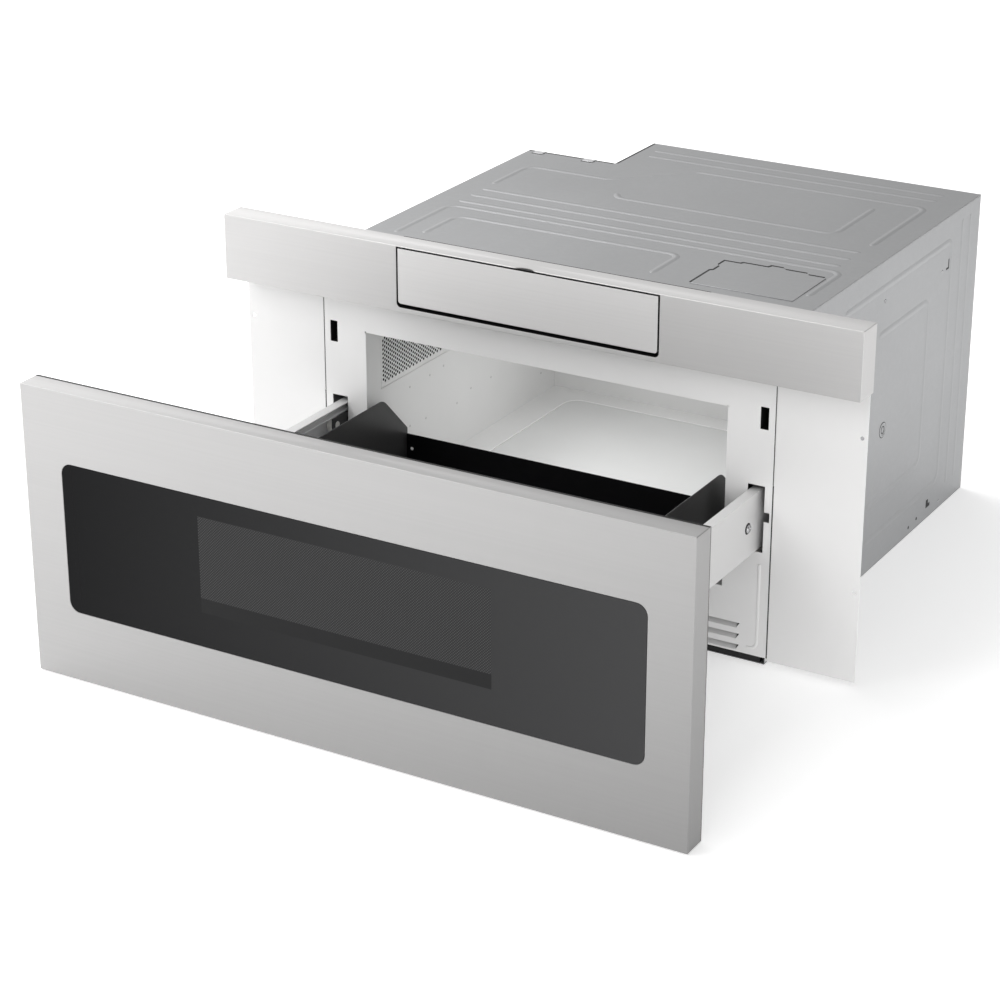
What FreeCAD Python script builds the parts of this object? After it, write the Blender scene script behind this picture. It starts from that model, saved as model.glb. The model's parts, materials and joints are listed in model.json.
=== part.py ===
import FreeCAD, Part
import math
import os

import Sketcher
from FreeCAD import Rotation, Vector

# A built-in microwave drawer, shown with its drawer pulled out.
# X runs from left to right, Y from the front to the back, Z upwards.
# The origin is on the case's underside, at its middle, where the back of the trim
# flanges meets the cabinet's face.  All sizes are in millimetres.

doc = FreeCAD.newDocument("microwave_drawer")

sizes = {
    # front panels
    "front_width": 759.0,       # control bar and door, side to side
    "bar_tall": 73.9,           # control bar, bottom to top
    "bar_deep": 31.4,           # control bar, front to back
    "bar_over_case": 33.1,      # top of the control bar over the case's top
    "bar_standoff": 3.5,        # carrier between the bar and the frame
    "bar_lip": 8.0,             # returned edges behind the bar
    "skin": 1.0,                # stainless skin
    "door_gap": 6.7,            # between the door and the control bar
    "door_lift": 1.0,           # door's lower edge over the case's underside
    "door_deep": 29.2,          # door, front to back
    "travel": 357.7,            # drawer's travel from shut to fully open
    # oven cavity
    "oven_wide": 440.0,
    "oven_deep": 426.5,
    "oven_tall": 202.0,
    "oven_floor": 80.0,
    "vent_front": 28.0,
    "vent_back": 176.0,
    "vent_drop": 10.0,          # top of the perforated sheet under the oven's ceiling
    "vent_tall": 66.0,
    "vent_pitch": 24.0,
    "vent_hole": 7.6,
    "plate_margin": 39.0,       # oven's wall to the ceramic plate over the antenna well
    "plate_long": 220.0,
    "plate_behind": 30.5,       # plate's rear edge to the oven's rear wall
    "plate_thick": 1.6,
    "plate_corner": 20.0,
    "well_radius": 90.0,
    "well_deep": 23.0,
    "guide_deep": 25.0,         # waveguide, top to bottom
    # case
    "side_space": 52.3,         # oven's wall to the case's outer face, for the slides
    "head_space": 87.0,         # oven's ceiling to the case's top
    "back_space": 128.6,        # oven's rear wall to the case's back
    "notch_wide": 118.0,        # the corner cut for the outlet
    "notch_deep": 101.6,
    "sheet": 1.0,               # galvanised sheet
    "cord_hole_radius": 11.0,
    "rib_rise": 1.5,            # pressed ribs of the case
    "rib_wide": 7.0,
    "rib_corner": 14.0,
    # front frame and flanges
    "frame_lap": 1.7,           # frame's edge past the case's side
    "frame_bottom": 7.8,
    "frame_sheet": 1.0,
    "flange_inset": 4.4,        # flange's outer edge inside the control bar's end
    "flange_seam": 0.8,         # gap between the frame and each flange
    "flange_bottom": 4.5,
    "flange_rise": 26.0,        # flange's top over the case's top
    "flange_leg": 25.0,         # leg that lies on the case's side
    "screw_inset": 6.3,         # flange screw holes inside the flange's edge
    "screw_low": 106.3,
    "screw_spacing": 170.1,
    "screw_hole_radius": 2.2,
    "ear_reach": 6.0,           # square ear beside the arm's slot
    "ear_tall": 10.7,
    "latch_wide": 9.3,
    "latch_tall": 24.4,
    "latch_drop": 17.5,         # latch slot's lower edge under the oven's ceiling
    "louvre_long": 122.0,
    "louvre_margin": 22.0,      # louvre's outer end beyond the oven's wall
    "louvre_tall": 6.0,
    "louvre_first": 10.1,       # lower edge of the lowest louvre
    "louvre_pitch": 12.6,
    "louvre_deep": 6.0,
    # drawer arms, rails and rollers
    "arm_inset": 14.3,          # arm's outer face inside the case's outer face
    "arm_lift": 49.0,           # arm's lower edge over the oven's floor
    "arm_tall": 66.5,
    "arm_flange": 11.5,
    "arm_sheet": 1.2,
    "foot_wide": 34.0,          # arm's foot on the back of the door
    "slide_wide": 11.6,         # inboard face of the fixed rail to the arm's outer face
    "rail_sheet": 1.2,
    "rail_wide": 8.6,
    "rail_tall": 21.8,
    "rail_lift": 21.8,          # fixed rail's underside over the arm's lower edge
    "rail_past_oven": 15.5,
    "rail_tail": 4.3,           # arm's end to the fixed rail's end when shut
    "nose_tall": 34.2,          # raised nose of the fixed rail
    "nose_back": 14.0,
    "nose_clear": 1.0,          # nose to the door's glass when shut
    "roller_radius": 9.4,
    "roller_wide": 6.2,
    "hub_radius": 4.0,
    "running": 0.05,            # running clearance of shafts in their holes
    "tail_roller_inset": 14.0,
    "slide_gap": 0.1,           # rollers to the flanges that they carry
    "lip_wide": 7.0,
    "slot_over": 6.5,           # arm's slot over the arm
    "slot_under": 1.5,
    "slot_beside": 7.0,
    # drawer tray
    "tray_margin": 11.5,        # oven's wall to the middle of the tray's side
    "tray_sheet": 1.2,
    "tray_lift": 4.0,           # tray over the oven's floor
    "tray_tall": 116.0,
    "tray_gap": 5.6,            # tray to the oven's rear wall when shut
    "tray_slope": 49.0,         # sloping rear corner of the tray's sides
    "tray_corner": 20.0,
    "tray_rear_tall": 60.0,
    "tray_rim": 10.0,
    "glass_floor": 5.0,
    "floor_lift": 12.0,         # glass floor over the tray's underside
    # door
    "window_margin": 46.7,      # window's edge inside the door's edge
    "window_low": 79.7,
    "window_high": 244.5,
    "window_corner": 12.0,
    "glass_thick": 4.0,
    "glass_gap": 0.3,
    "view_half": 170.0,         # see-through part of the window
    "view_low": 118.0,
    "view_high": 222.5,
    "cover_thick": 1.6,
    "cover_inset": 0.2,
    "frame_plate": 2.0,
    "rail_hole": 2.0,           # free space round the fixed rail's nose in the door
    # hidden control panel
    "panel_half": 155.3,
    "panel_tall": 61.8,
    "panel_drop": 1.3,          # panel's upper edge under the bar's top skin
    "panel_gap": 1.7,
    "panel_gap_low": 4.4,
    "panel_corner": 5.0,
    "pin_radius": 2.0,
    "pin_in": 5.4,              # hinge pins behind the bar's face
    "pin_up": 3.5,              # and above the panel's lower edge
    # drawer drive
    "tooth_module": 1.5,
    "pinion_teeth": 16.0,
    "pinion_y": 24.0,
    "rack_lift": 1.5,           # tips of the rack's teeth over the arm's lower edge
    "rack_tall": 10.5,
    "gear_wide": 6.4,
}

sheet = doc.addObject("Spreadsheet::Sheet", "size")
for row, (alias, number) in enumerate(sizes.items(), start=1):
    sheet.set(f"A{row}", alias)
    sheet.set(f"B{row}", str(number))
    sheet.setAlias(f"B{row}", alias)
doc.recompute()


class Size:
    """A length together with the sheet formula that gives it."""

    def __init__(self, number, formula):
        self.number = float(number)
        self.formula = formula

    def __add__(self, other):
        return worked_out(self, "+", other)

    def __radd__(self, other):
        return worked_out(other, "+", self)

    def __sub__(self, other):
        return worked_out(self, "-", other)

    def __rsub__(self, other):
        return worked_out(other, "-", self)

    def __mul__(self, other):
        return worked_out(self, "*", other)

    def __rmul__(self, other):
        return worked_out(other, "*", self)

    def __truediv__(self, other):
        return worked_out(self, "/", other)

    def __neg__(self):
        return worked_out(0, "-", self)


def as_size(item):
    return item if isinstance(item, Size) else Size(item, str(float(item)))


def worked_out(left, sign, right):
    left, right = as_size(left), as_size(right)
    if sign == "+":
        number = left.number + right.number
    elif sign == "-":
        number = left.number - right.number
    elif sign == "*":
        number = left.number * right.number
    else:
        number = left.number / right.number
    return Size(number, f"({left.formula} {sign} {right.formula})")


class Sheet:
    """The driving sizes, each under its alias."""


s = Sheet()
for alias, number in sizes.items():
    setattr(s, alias, Size(number, f"size.{alias}"))


# ---- tools for making pieces ----

def bind(item, field, size):
    item.setExpression(field, as_size(size).formula)


def place(item, base):
    for letter, along in zip("xyz", base):
        bind(item, f"Placement.Base.{letter}", along)


def block(name, low, high):
    """A box from its lowest corner to its highest."""
    box = doc.addObject("Part::Box", name)
    for field, start, end in zip(("Length", "Width", "Height"), low, high):
        bind(box, field, as_size(end) - start)
    place(box, low)
    return box


turns = {"X": Rotation(Vector(0, 1, 0), 90), "Y": Rotation(Vector(1, 0, 0), -90), "Z": Rotation()}


def drum(name, radius, base, length, axis="Z"):
    """A cylinder that starts at base and runs along an axis."""
    round_bar = doc.addObject("Part::Cylinder", name)
    bind(round_bar, "Radius", radius)
    bind(round_bar, "Height", length)
    round_bar.Placement = FreeCAD.Placement(Vector(), turns[axis])
    place(round_bar, base)
    return round_bar


def prism(name, sides, radius, base, length, axis="Z"):
    """A straight bar with flat sides, from base along an axis.  radius reaches its corners."""
    bar = doc.addObject("Part::Prism", name)
    bar.Polygon = sides
    bind(bar, "Circumradius", radius)
    bind(bar, "Height", length)
    bar.Placement = FreeCAD.Placement(Vector(), turns[axis])
    place(bar, base)
    return bar


def round_in_flats(radius):
    """Corner radius of an eight-sided hole whose flats clear a round shaft."""
    return (radius + s.running) * (1 / math.cos(math.pi / 8))


def join(name, *pieces):
    whole = doc.addObject("Part::MultiFuse", name)
    whole.Shapes = list(pieces)
    whole.Refine = True
    return whole


def cut(name, base, *tools):
    rest = doc.addObject("Part::Cut", name)
    rest.Base = base
    rest.Tool = tools[0] if len(tools) == 1 else join(name + "_tools", *tools)
    rest.Refine = True
    return rest


def group(name, *pieces):
    """Separate solids of the same kind in one node."""
    several = doc.addObject("Part::Compound", name)
    several.Links = list(pieces)
    return several


def mirrored(name, source):
    """The same piece on the other side of the middle plane."""
    twin = doc.addObject("Part::Mirroring", name)
    twin.Source = source
    twin.Base = Vector(0, 0, 0)
    twin.Normal = Vector(1, 0, 0)
    return twin


def sketch(body, name, role, level=0):
    """A sketch on an origin plane of its own body, moved along the plane's normal."""
    flat = body.newObject("Sketcher::SketchObject", name)
    base = next(feature for feature in body.Origin.OriginFeatures if feature.Role == role)
    flat.AttachmentSupport = (base, [""])
    flat.MapMode = "FlatFace"
    bind(flat, "AttachmentOffset.Base.z", level)
    return flat


def hold(flat, kind, places, size):
    """A driving dimension of a sketch, bound to the sheet."""
    index = flat.addConstraint(Sketcher.Constraint(kind, *places, as_size(size).number))
    flat.setExpression(f"Constraints[{index}]", as_size(size).formula)


def outline(flat, corners, radius=None, closed=True):
    """Straight lines between the corners, each corner sharp or rounded.

    The corner points are held from the origin.  A line passes through its two corners,
    and a rounded corner is an arc tangent to the lines on both sides.
    """
    corners = [(as_size(across), as_size(up)) for across, up in corners]
    points = [Vector(across.number, up.number, 0) for across, up in corners]
    count = len(points)
    radii = list(radius) if isinstance(radius, (list, tuple)) else [radius] * count
    if not closed:
        radii[0] = radii[-1] = None
    marks = [flat.addGeometry(Part.Point(point), True) for point in points]
    for mark, (across, up) in zip(marks, corners):
        hold(flat, "DistanceX", (-1, 1, mark, 1), across)
        hold(flat, "DistanceY", (-1, 1, mark, 1), up)
    sides = count if closed else count - 1
    ways = [(points[(i + 1) % count] - points[i]).normalize() for i in range(sides)]
    setback = [0.0] * count
    for i in range(count):
        if radii[i] is not None:
            turn = ways[i - 1].getAngle(ways[i])
            setback[i] = as_size(radii[i]).number * math.tan(turn / 2)
    lines = []
    for i in range(sides):
        after = (i + 1) % count
        start = points[i] + ways[i] * setback[i]
        end = points[after] - ways[i] * setback[after]
        lines.append(flat.addGeometry(Part.LineSegment(start, end)))
    for i in range(count):
        if not closed and i in (0, count - 1):
            line, tip = (lines[0], 1) if i == 0 else (lines[-1], 2)
            flat.addConstraint(Sketcher.Constraint("Coincident", line, tip, marks[i], 1))
            continue
        before, after = lines[i - 1], lines[i]
        if radii[i] is None:
            flat.addConstraint(Sketcher.Constraint("Coincident", before, 2, marks[i], 1))
            flat.addConstraint(Sketcher.Constraint("Coincident", after, 1, marks[i], 1))
            continue
        add_corner(flat, points[i], ways[i - 1], ways[i], setback[i], radii[i], before, after, marks[i])


def add_corner(flat, point, way_in, way_out, setback, radius, before, after, mark):
    number = as_size(radius).number
    left_turn = way_in.cross(way_out).z > 0
    side = Vector(-way_in.y, way_in.x, 0) * (1 if left_turn else -1)
    start = point - way_in * setback
    end = point + way_out * setback
    centre = start + side * number
    first, last = (start, end) if left_turn else (end, start)
    from_angle = math.atan2(first.y - centre.y, first.x - centre.x)
    to_angle = math.atan2(last.y - centre.y, last.x - centre.x)
    circle = Part.Circle(centre, Vector(0, 0, 1), number)
    arc = flat.addGeometry(Part.ArcOfCircle(circle, from_angle, to_angle))
    near, far = (1, 2) if left_turn else (2, 1)
    flat.addConstraint(Sketcher.Constraint("PointOnObject", mark, 1, before))
    flat.addConstraint(Sketcher.Constraint("PointOnObject", mark, 1, after))
    flat.addConstraint(Sketcher.Constraint("Tangent", before, 2, arc, near))
    flat.addConstraint(Sketcher.Constraint("Tangent", after, 1, arc, far))
    hold(flat, "Radius", (arc,), radius)


def axle_line(flat, y):
    """A construction line along X, for what turns about it."""
    level = as_size(y).number
    line = flat.addGeometry(Part.LineSegment(Vector(0, level, 0), Vector(50, level, 0)), True)
    hold(flat, "DistanceY", (-1, 1, line, 1), y)
    hold(flat, "DistanceY", (-1, 1, line, 2), y)


def rectangle(left, right, low, high):
    return [(left, low), (right, low), (right, high), (left, high)]


def ring(flat, across, up, radius):
    """A circle held from the origin."""
    centre = Vector(as_size(across).number, as_size(up).number, 0)
    circle = flat.addGeometry(Part.Circle(centre, Vector(0, 0, 1), as_size(radius).number))
    hold(flat, "DistanceX", (-1, 1, circle, 3), across)
    hold(flat, "DistanceY", (-1, 1, circle, 3), up)
    hold(flat, "Radius", (circle,), radius)


def around(across, up, radius, sides):
    """Corners evenly round a point."""
    turns_of = [math.radians(360 * (k + 0.5) / sides) for k in range(sides)]
    return [(across + radius * math.cos(turn), up + radius * math.sin(turn)) for turn in turns_of]


def new_body(name):
    return doc.addObject("PartDesign::Body", name)


def pad(body, name, flat, length, reverse=False):
    feature = body.newObject("PartDesign::Pad", name)
    feature.Profile = flat
    bind(feature, "Length", length)
    feature.Reversed = reverse
    body.Tip = feature
    return feature


def pocket_through(body, name, flat):
    feature = body.newObject("PartDesign::Pocket", name)
    feature.Profile = flat
    feature.Type = "ThroughAll"
    feature.SideType = "Symmetric"
    body.Tip = feature
    return feature


def repeat(body, name, features, role, spacing, count):
    """The features again, at even steps along an origin axis."""
    row_of = body.newObject("PartDesign::LinearPattern", name)
    row_of.Originals = features
    axis = next(feature for feature in body.Origin.OriginFeatures if feature.Role == role)
    row_of.Direction = (axis, [""])
    row_of.Mode = "Spacing"
    bind(row_of, "Offset", spacing)
    row_of.Occurrences = count
    body.Tip = row_of
    return row_of


def plate(name, role, level, corners, thick, radius=None, reverse=False):
    """A body of one flat outline and one thickness."""
    body = new_body(name)
    flat = sketch(body, name + "_outline", role, level)
    outline(flat, corners, radius)
    pad(body, name + "_sheet", flat, thick, reverse)
    return body


def rib(body, name, role, level, route, first, rise, wide, corner):
    """A pressed rib: a flat-topped bulge carried along a route of straight runs and arcs.

    first is the role of the plane across the route's start, and where that plane lies.
    """
    path = sketch(body, name + "_path", role, level)
    outline(path, route, corner, closed=False)
    across_role, across_level, turned, middle, ground = first
    profile = sketch(body, name + "_profile", across_role, across_level)
    foot, crown, sink = wide / 2, wide / 4, s.sheet * 0.4
    if as_size(rise).number < 0:
        sink = -sink
    if turned:
        shape = [(ground - sink, middle - foot), (ground - sink, middle + foot),
                 (ground + rise, middle + crown), (ground + rise, middle - crown)]
    else:
        shape = [(middle - foot, ground - sink), (middle + foot, ground - sink),
                 (middle + crown, ground + rise), (middle - crown, ground + rise)]
    outline(profile, shape)
    sweep = body.newObject("PartDesign::AdditivePipe", name)
    sweep.Profile = profile
    sweep.Spine = (path, [""])
    body.Tip = sweep
    return sweep


nodes = {}


def node(name, item):
    """Names a finished sub-part."""
    item.Label = name
    nodes[name] = item
    return item


# ---- shared places, worked out from the sizes ----

half_front = s.front_width / 2
half_oven = s.oven_wide / 2
liner_side = half_oven + s.sheet
half_case = half_oven + s.side_space
case_inside = half_case - s.sheet
half_frame = half_case + s.frame_lap
oven_top = s.oven_floor + s.oven_tall
case_top = oven_top + s.head_space
case_deep = s.oven_deep + s.back_space
notch_x = s.notch_wide - half_case
notch_y = case_deep - s.notch_deep
case_outline = [(-half_case, 0), (half_case, 0), (half_case, case_deep),
                (notch_x, case_deep), (notch_x, notch_y), (-half_case, notch_y)]

cord_x = notch_x + 54.3
cord_z = case_top - 69.0
vent_high = oven_top - s.vent_drop
vent_low = vent_high - s.vent_tall
plate_half = half_oven - s.plate_margin
plate_back = s.oven_deep - s.plate_behind
plate_front = plate_back - s.plate_long

frame_face = -s.frame_sheet
flange_reach = half_front - s.flange_inset
flange_top = case_top + s.flange_rise
screw_x = flange_reach - s.screw_inset
louvre_right = half_oven + s.louvre_margin
louvre_left = louvre_right - s.louvre_long
bar_top = case_top + s.bar_over_case
bar_low = bar_top - s.bar_tall
bar_back = frame_face - s.bar_standoff
bar_face = bar_back - s.bar_deep
door_top = bar_low - s.door_gap
door_face = bar_face - s.travel
door_back = door_face + s.door_deep
cover_face = door_back - s.cover_thick
window_half = half_front - s.window_margin

arm_face = half_case - s.arm_inset
arm_web = arm_face - s.arm_sheet
arm_inner = arm_face - s.arm_flange
arm_low = s.oven_floor + s.arm_lift
arm_high = arm_low + s.arm_tall
rail_face = arm_face - s.slide_wide
rail_web = rail_face + s.rail_sheet
rail_free = rail_face + s.rail_wide
rail_low = arm_low + s.rail_lift
rail_high = rail_low + s.rail_tall
rail_back = s.oven_deep + s.rail_past_oven
arm_back = rail_back - s.rail_tail - s.travel
nose_y = bar_face + s.glass_thick + s.nose_clear
nose_top = rail_low + s.nose_tall
nose_roller_y = nose_y + s.roller_radius
nose_roller_z = nose_top - s.roller_radius
channel_top = rail_high - s.rail_sheet
tail_roller_y = arm_back - s.tail_roller_inset
tail_roller_z = channel_top - s.slide_gap - s.roller_radius
moving_top = nose_top + s.slide_gap
roller_in = rail_web + 0.8
slot_inner = rail_face - 0.8
slot_outer = arm_face + s.slot_beside
slot_low = arm_low - s.slot_under
slot_high = arm_high + s.slot_over
ear_low = (slot_low + slot_high - s.ear_tall) / 2 + 3.2
ear_high = ear_low + s.ear_tall
latch_inner = arm_face - 1.0
latch_low = oven_top - s.latch_drop
latch_high = latch_low + s.latch_tall

rack_tip = arm_low + s.rack_lift
rack_top = rack_tip + s.rack_tall

tray_half = half_oven - s.tray_margin
tray_low = s.oven_floor + s.tray_lift
tray_back = s.oven_deep - s.tray_gap - s.travel
tray_high = tray_low + s.tray_tall
glass_top = tray_low + s.floor_lift + s.glass_floor

well_y = s.oven_deep - s.plate_behind - s.plate_long / 2
guide_top = s.oven_floor - s.well_deep - s.sheet
guide_low = guide_top - s.guide_deep

panel_high = bar_top - s.skin - s.panel_drop
panel_low = panel_high - s.panel_tall
cheek_in = s.panel_half + 3.2
cheek_out = cheek_in + 3.0
housing_low = panel_low - 1.0
housing_high = bar_top - s.bar_lip - 1.1
pin_y = bar_face + s.pin_in
pin_z = panel_low + s.pin_up


# ---- case ----

def make_base_pan():
    under_frame = [(across, frame_face) if deep == 0 else (across, deep) for across, deep in case_outline]
    pan = plate("base_pan", "XY_Plane", 0, under_frame, s.sheet)
    return node("base_pan", pan)


def make_base_trim():
    inset = 7.0
    strip = block("base_trim", (-half_frame + inset, frame_face, s.sheet),
                  (half_frame - inset, 5.0, s.frame_bottom))
    return node("base_trim", strip)


def make_side_panel(name, side, back, ribs):
    """A side of the case.  side is 1 on the right and -1 on the left."""
    start = case_inside if side > 0 else -half_case
    panel = new_body(name)
    flat = sketch(panel, name + "_outline", "YZ_Plane", start)
    outline(flat, rectangle(0, back, s.sheet, case_top - s.sheet))
    pad(panel, name + "_sheet", flat, s.sheet)
    outer = half_case if side > 0 else -half_case
    for number, (route, across) in enumerate(ribs, start=1):
        rise = s.rib_rise * side
        rib(panel, f"{name}_rib_{number}", "YZ_Plane", outer, route,
            across(outer), rise, s.rib_wide, s.rib_corner)
    return node(name, panel)


def start_along_y(y, z):
    """The plane across a side rib that starts by running along Y."""
    return lambda outer: ("XZ_Plane", -y, True, z, outer)


def start_along_z(y, z):
    """The plane across a side rib that starts by running along Z."""
    return lambda outer: ("XY_Plane", z, True, y, outer)


def side_ribs(back):
    """The ribs of a side: two open loops and two uprights near its back."""
    outer_back, inner_back = back - 83.0, back - 146.0
    low, high = 40.0, 337.0
    return [
        ([(170.0, high), (outer_back, high), (outer_back, low), (256.0, low)],
         start_along_y(as_size(170.0), as_size(high))),
        ([(268.0, 283.0), (inner_back, 283.0), (inner_back, 83.0), (256.0, 83.0)],
         start_along_y(as_size(268.0), as_size(283.0))),
        ([(back - 53.5, 25.0), (back - 53.5, 354.0)], start_along_z(back - 53.5, as_size(25.0))),
        ([(back - 29.5, 25.0), (back - 29.5, 354.0)], start_along_z(back - 29.5, as_size(25.0))),
    ]


def make_top_cover():
    cover = new_body("top_cover")
    flat = sketch(cover, "top_cover_outline", "XY_Plane", case_top - s.sheet)
    outline(flat, case_outline)
    pad(cover, "top_cover_sheet", flat, s.sheet)
    opening = sketch(cover, "access_opening", "XY_Plane", case_top)
    outline(opening, rectangle(135.0, 232.0, 106.0, 172.0))
    pocket_through(cover, "access_hole", opening)
    span = half_case - 33.5
    top = case_top
    inner_left, middle = 28.8 - span, span - 166.0
    loop_back, loop_side = case_deep - 84.1, notch_y - 62.0
    shelf_left, shelf_front = notch_x + 59.3, notch_y - 107.5
    along_y = lambda x, y: ("XZ_Plane", -as_size(y), False, as_size(x), top)
    along_x = lambda x, y: ("YZ_Plane", as_size(x), False, as_size(y), top)
    runs = [
        ([(-span, 92.0), (-span, 211.0), (span + 10, 211.0), (span + 10, 122.0)], along_y(-span, 92.0)),
        ([(inner_left, 105.0), (inner_left, 178.0), (middle, 178.0), (middle, 108.0)], along_y(inner_left, 105.0)),
        ([(-span, 230.0), (span, 230.0)], along_x(-span, 230.0)),
        ([(-span, 256.6), (span, 256.6)], along_x(-span, 256.6)),
        ([(-span, 283.4), (span, 283.4)], along_x(-span, 283.4)),
        ([(-span, 307.0), (-span, loop_side), (notch_x + 24.3, loop_side), (notch_x + 102.3, loop_back),
          (span, loop_back), (span, 312.0)], along_y(-span, 307.0)),
        ([(shelf_left, shelf_front), (shelf_left + 9, shelf_front - 15), (span - 51.8, shelf_front - 15),
          (span - 51.8, notch_y - 13.5)], along_y(shelf_left, shelf_front)),
        ([(notch_x + 20.3, case_deep - 52.6), (span, case_deep - 52.6)], along_x(notch_x + 20.3, case_deep - 52.6)),
        ([(notch_x + 16.3, case_deep - 29.1), (span, case_deep - 29.1)], along_x(notch_x + 16.3, case_deep - 29.1)),
    ]
    for number, (route, first) in enumerate(runs, start=1):
        rib(cover, f"top_rib_{number}", "XY_Plane", top, route, first, s.rib_rise, s.rib_wide, s.rib_corner)
    return node("top_cover", cover)


def make_access_plate():
    """The small screwed cover at the front right of the top, with its stepped edge."""
    left, front = half_case - 147.8, 98.0
    steps = [(0, 0), (118, 0), (118, 85), (98, 85), (96, 89), (70, 89), (66, 93), (52, 93), (50, 87.5),
             (21, 87.5), (19, 84), (0, 84), (0, 68), (3, 65), (3, 50), (0, 47)]
    corners = [(left + across, front + along) for across, along in steps]
    lid = plate("access_plate", "XY_Plane", case_top, corners, 0.8)
    return node("access_plate", lid)


def make_rear_panel():
    """Three walls in one sheet round the notched corner, with cooling slots and the cord hole."""
    inner_x, inner_y = notch_x + s.sheet, notch_y - s.sheet
    corners = [(case_inside, case_deep), (notch_x, case_deep), (notch_x, notch_y), (-case_inside, notch_y),
               (-case_inside, inner_y), (inner_x, inner_y), (inner_x, case_deep - s.sheet),
               (case_inside, case_deep - s.sheet)]
    panel = new_body("rear_panel")
    flat = sketch(panel, "rear_panel_plan", "XY_Plane", s.sheet)
    outline(flat, corners)
    pad(panel, "rear_panel_walls", flat, case_top - 2 * s.sheet)
    slots = sketch(panel, "rear_slot", "XZ_Plane", 0)
    outline(slots, rectangle(30.0, 110.0, 60.0, 66.0))
    first = pocket_through(panel, "rear_slot_cut", slots)
    repeat(panel, "rear_slots", [first], "Z_Axis", 16.0, 9)
    hole = sketch(panel, "cord_hole", "XZ_Plane", 0)
    outline(hole, around(cord_x, cord_z, s.cord_hole_radius, 16))
    pocket_through(panel, "cord_hole_cut", hole)
    return node("rear_panel", panel)


def make_cord_gland():
    """The rubber bush in the rear panel's cord hole."""
    x, z, radius = cord_x, cord_z, s.cord_hole_radius
    flange = prism("gland_flange", 16, radius + 4.0, (x, case_deep, z), 2.0, "Y")
    neck = prism("gland_neck", 16, radius - 0.4, (x, case_deep - 3.0, z), 3.0, "Y")
    bore = prism("gland_bore", 16, radius - 4.0, (x, case_deep - 4.0, z), 8.0, "Y")
    return node("cord_gland", cut("cord_gland", join("gland_solid", flange, neck), bore))


def make_front_frame():
    """The white sheet round the oven's mouth, with its slots and louvres."""
    frame = new_body("front_frame")
    flat = sketch(frame, "front_frame_outline", "XZ_Plane", 0)
    outline(flat, rectangle(-half_frame, half_frame, s.frame_bottom, case_top - s.sheet))
    pad(frame, "front_frame_sheet", flat, s.frame_sheet)
    mouth = sketch(frame, "oven_mouth", "XZ_Plane", 0)
    outline(mouth, rectangle(-half_oven, half_oven, s.oven_floor, oven_top))
    pocket_through(frame, "oven_mouth_cut", mouth)
    for side in (-1, 1):
        word = "right" if side > 0 else "left"
        slot = sketch(frame, f"{word}_arm_slot", "XZ_Plane", 0)
        inner, outer, ear = side * slot_inner, side * slot_outer, side * (slot_outer + s.ear_reach)
        outline(slot, [(inner, slot_low), (outer, slot_low), (outer, ear_low), (ear, ear_low),
                       (ear, ear_high), (outer, ear_high), (outer, slot_high), (inner, slot_high)])
        pocket_through(frame, f"{word}_arm_slot_cut", slot)
        latch = sketch(frame, f"{word}_latch_slot", "XZ_Plane", 0)
        near = side * latch_inner
        outline(latch, rectangle(near, near + side * s.latch_wide, latch_low, latch_high))
        pocket_through(frame, f"{word}_latch_slot_cut", latch)
        relief = sketch(frame, f"{word}_relief", "XZ_Plane", 0)
        outline(relief, around(side * half_oven, oven_top, 1.6, 6))
        pocket_through(frame, f"{word}_relief_cut", relief)
        louvres(frame, word, side)
        ridge = side * 262.4
        rib(frame, f"{word}_frame_rib", "XZ_Plane", s.frame_sheet,
            [(ridge, 114.0), (ridge, 16.0), (ridge - side * 11.0, 16.0)],
            ("XY_Plane", as_size(114.0), False, as_size(ridge), frame_face), -0.8, as_size(4.0), 8.0)
    return node("front_frame", frame)


def louvres(frame, word, side):
    """Three long slots, each with a blade that leans inwards from its lower edge."""
    left, right = side * louvre_left, side * louvre_right
    low, high = s.louvre_first, s.louvre_first + s.louvre_tall
    slot = sketch(frame, f"{word}_louvre_slot", "XZ_Plane", 0)
    outline(slot, [(left, low), (right - side * 4, low), (right, high), (left + side * 4, high)])
    hole = pocket_through(frame, f"{word}_louvre_cut", slot)
    repeat(frame, f"{word}_louvre_holes", [hole], "Z_Axis", s.louvre_pitch, 3)
    lean = sketch(frame, f"{word}_blade_section", "YZ_Plane", left)
    outline(lean, [(frame_face, low - 0.9), (0, low - 0.9), (s.louvre_deep, high - 1.4),
                   (s.louvre_deep, high - 0.4), (frame_face, low)])
    length = louvre_right - louvre_left - 4
    blade = pad(frame, f"{word}_blade", lean, length, reverse=side < 0)
    repeat(frame, f"{word}_blades", [blade], "Z_Axis", s.louvre_pitch, 3)


def make_flanges():
    seam = half_frame + s.flange_seam
    lap = seam + 2.2
    leg = half_case + 1.0
    corners = [(half_case, 1.0), (half_case, 0), (seam, 0), (seam, frame_face),
               (flange_reach, frame_face), (flange_reach, 0), (lap, 0), (lap, 1.0)]
    flange = new_body("right_flange")
    flat = sketch(flange, "flange_plan", "XY_Plane", s.flange_bottom)
    outline(flat, corners)
    pad(flange, "flange_sheet", flat, flange_top - s.flange_bottom)
    side = sketch(flange, "flange_leg_plan", "XY_Plane", s.flange_bottom)
    outline(side, rectangle(half_case, leg, 0.5, s.flange_leg))
    pad(flange, "flange_leg", side, case_top - s.flange_bottom)
    for word, level in (("low", s.screw_low), ("high", s.screw_low + s.screw_spacing)):
        hole = sketch(flange, f"{word}_screw_hole", "XZ_Plane", 0)
        ring(hole, screw_x, level, s.screw_hole_radius)
        pocket_through(flange, f"{word}_screw_cut", hole)
    node("right_flange", flange)
    node("left_flange", mirrored("left_flange", flange))


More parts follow.
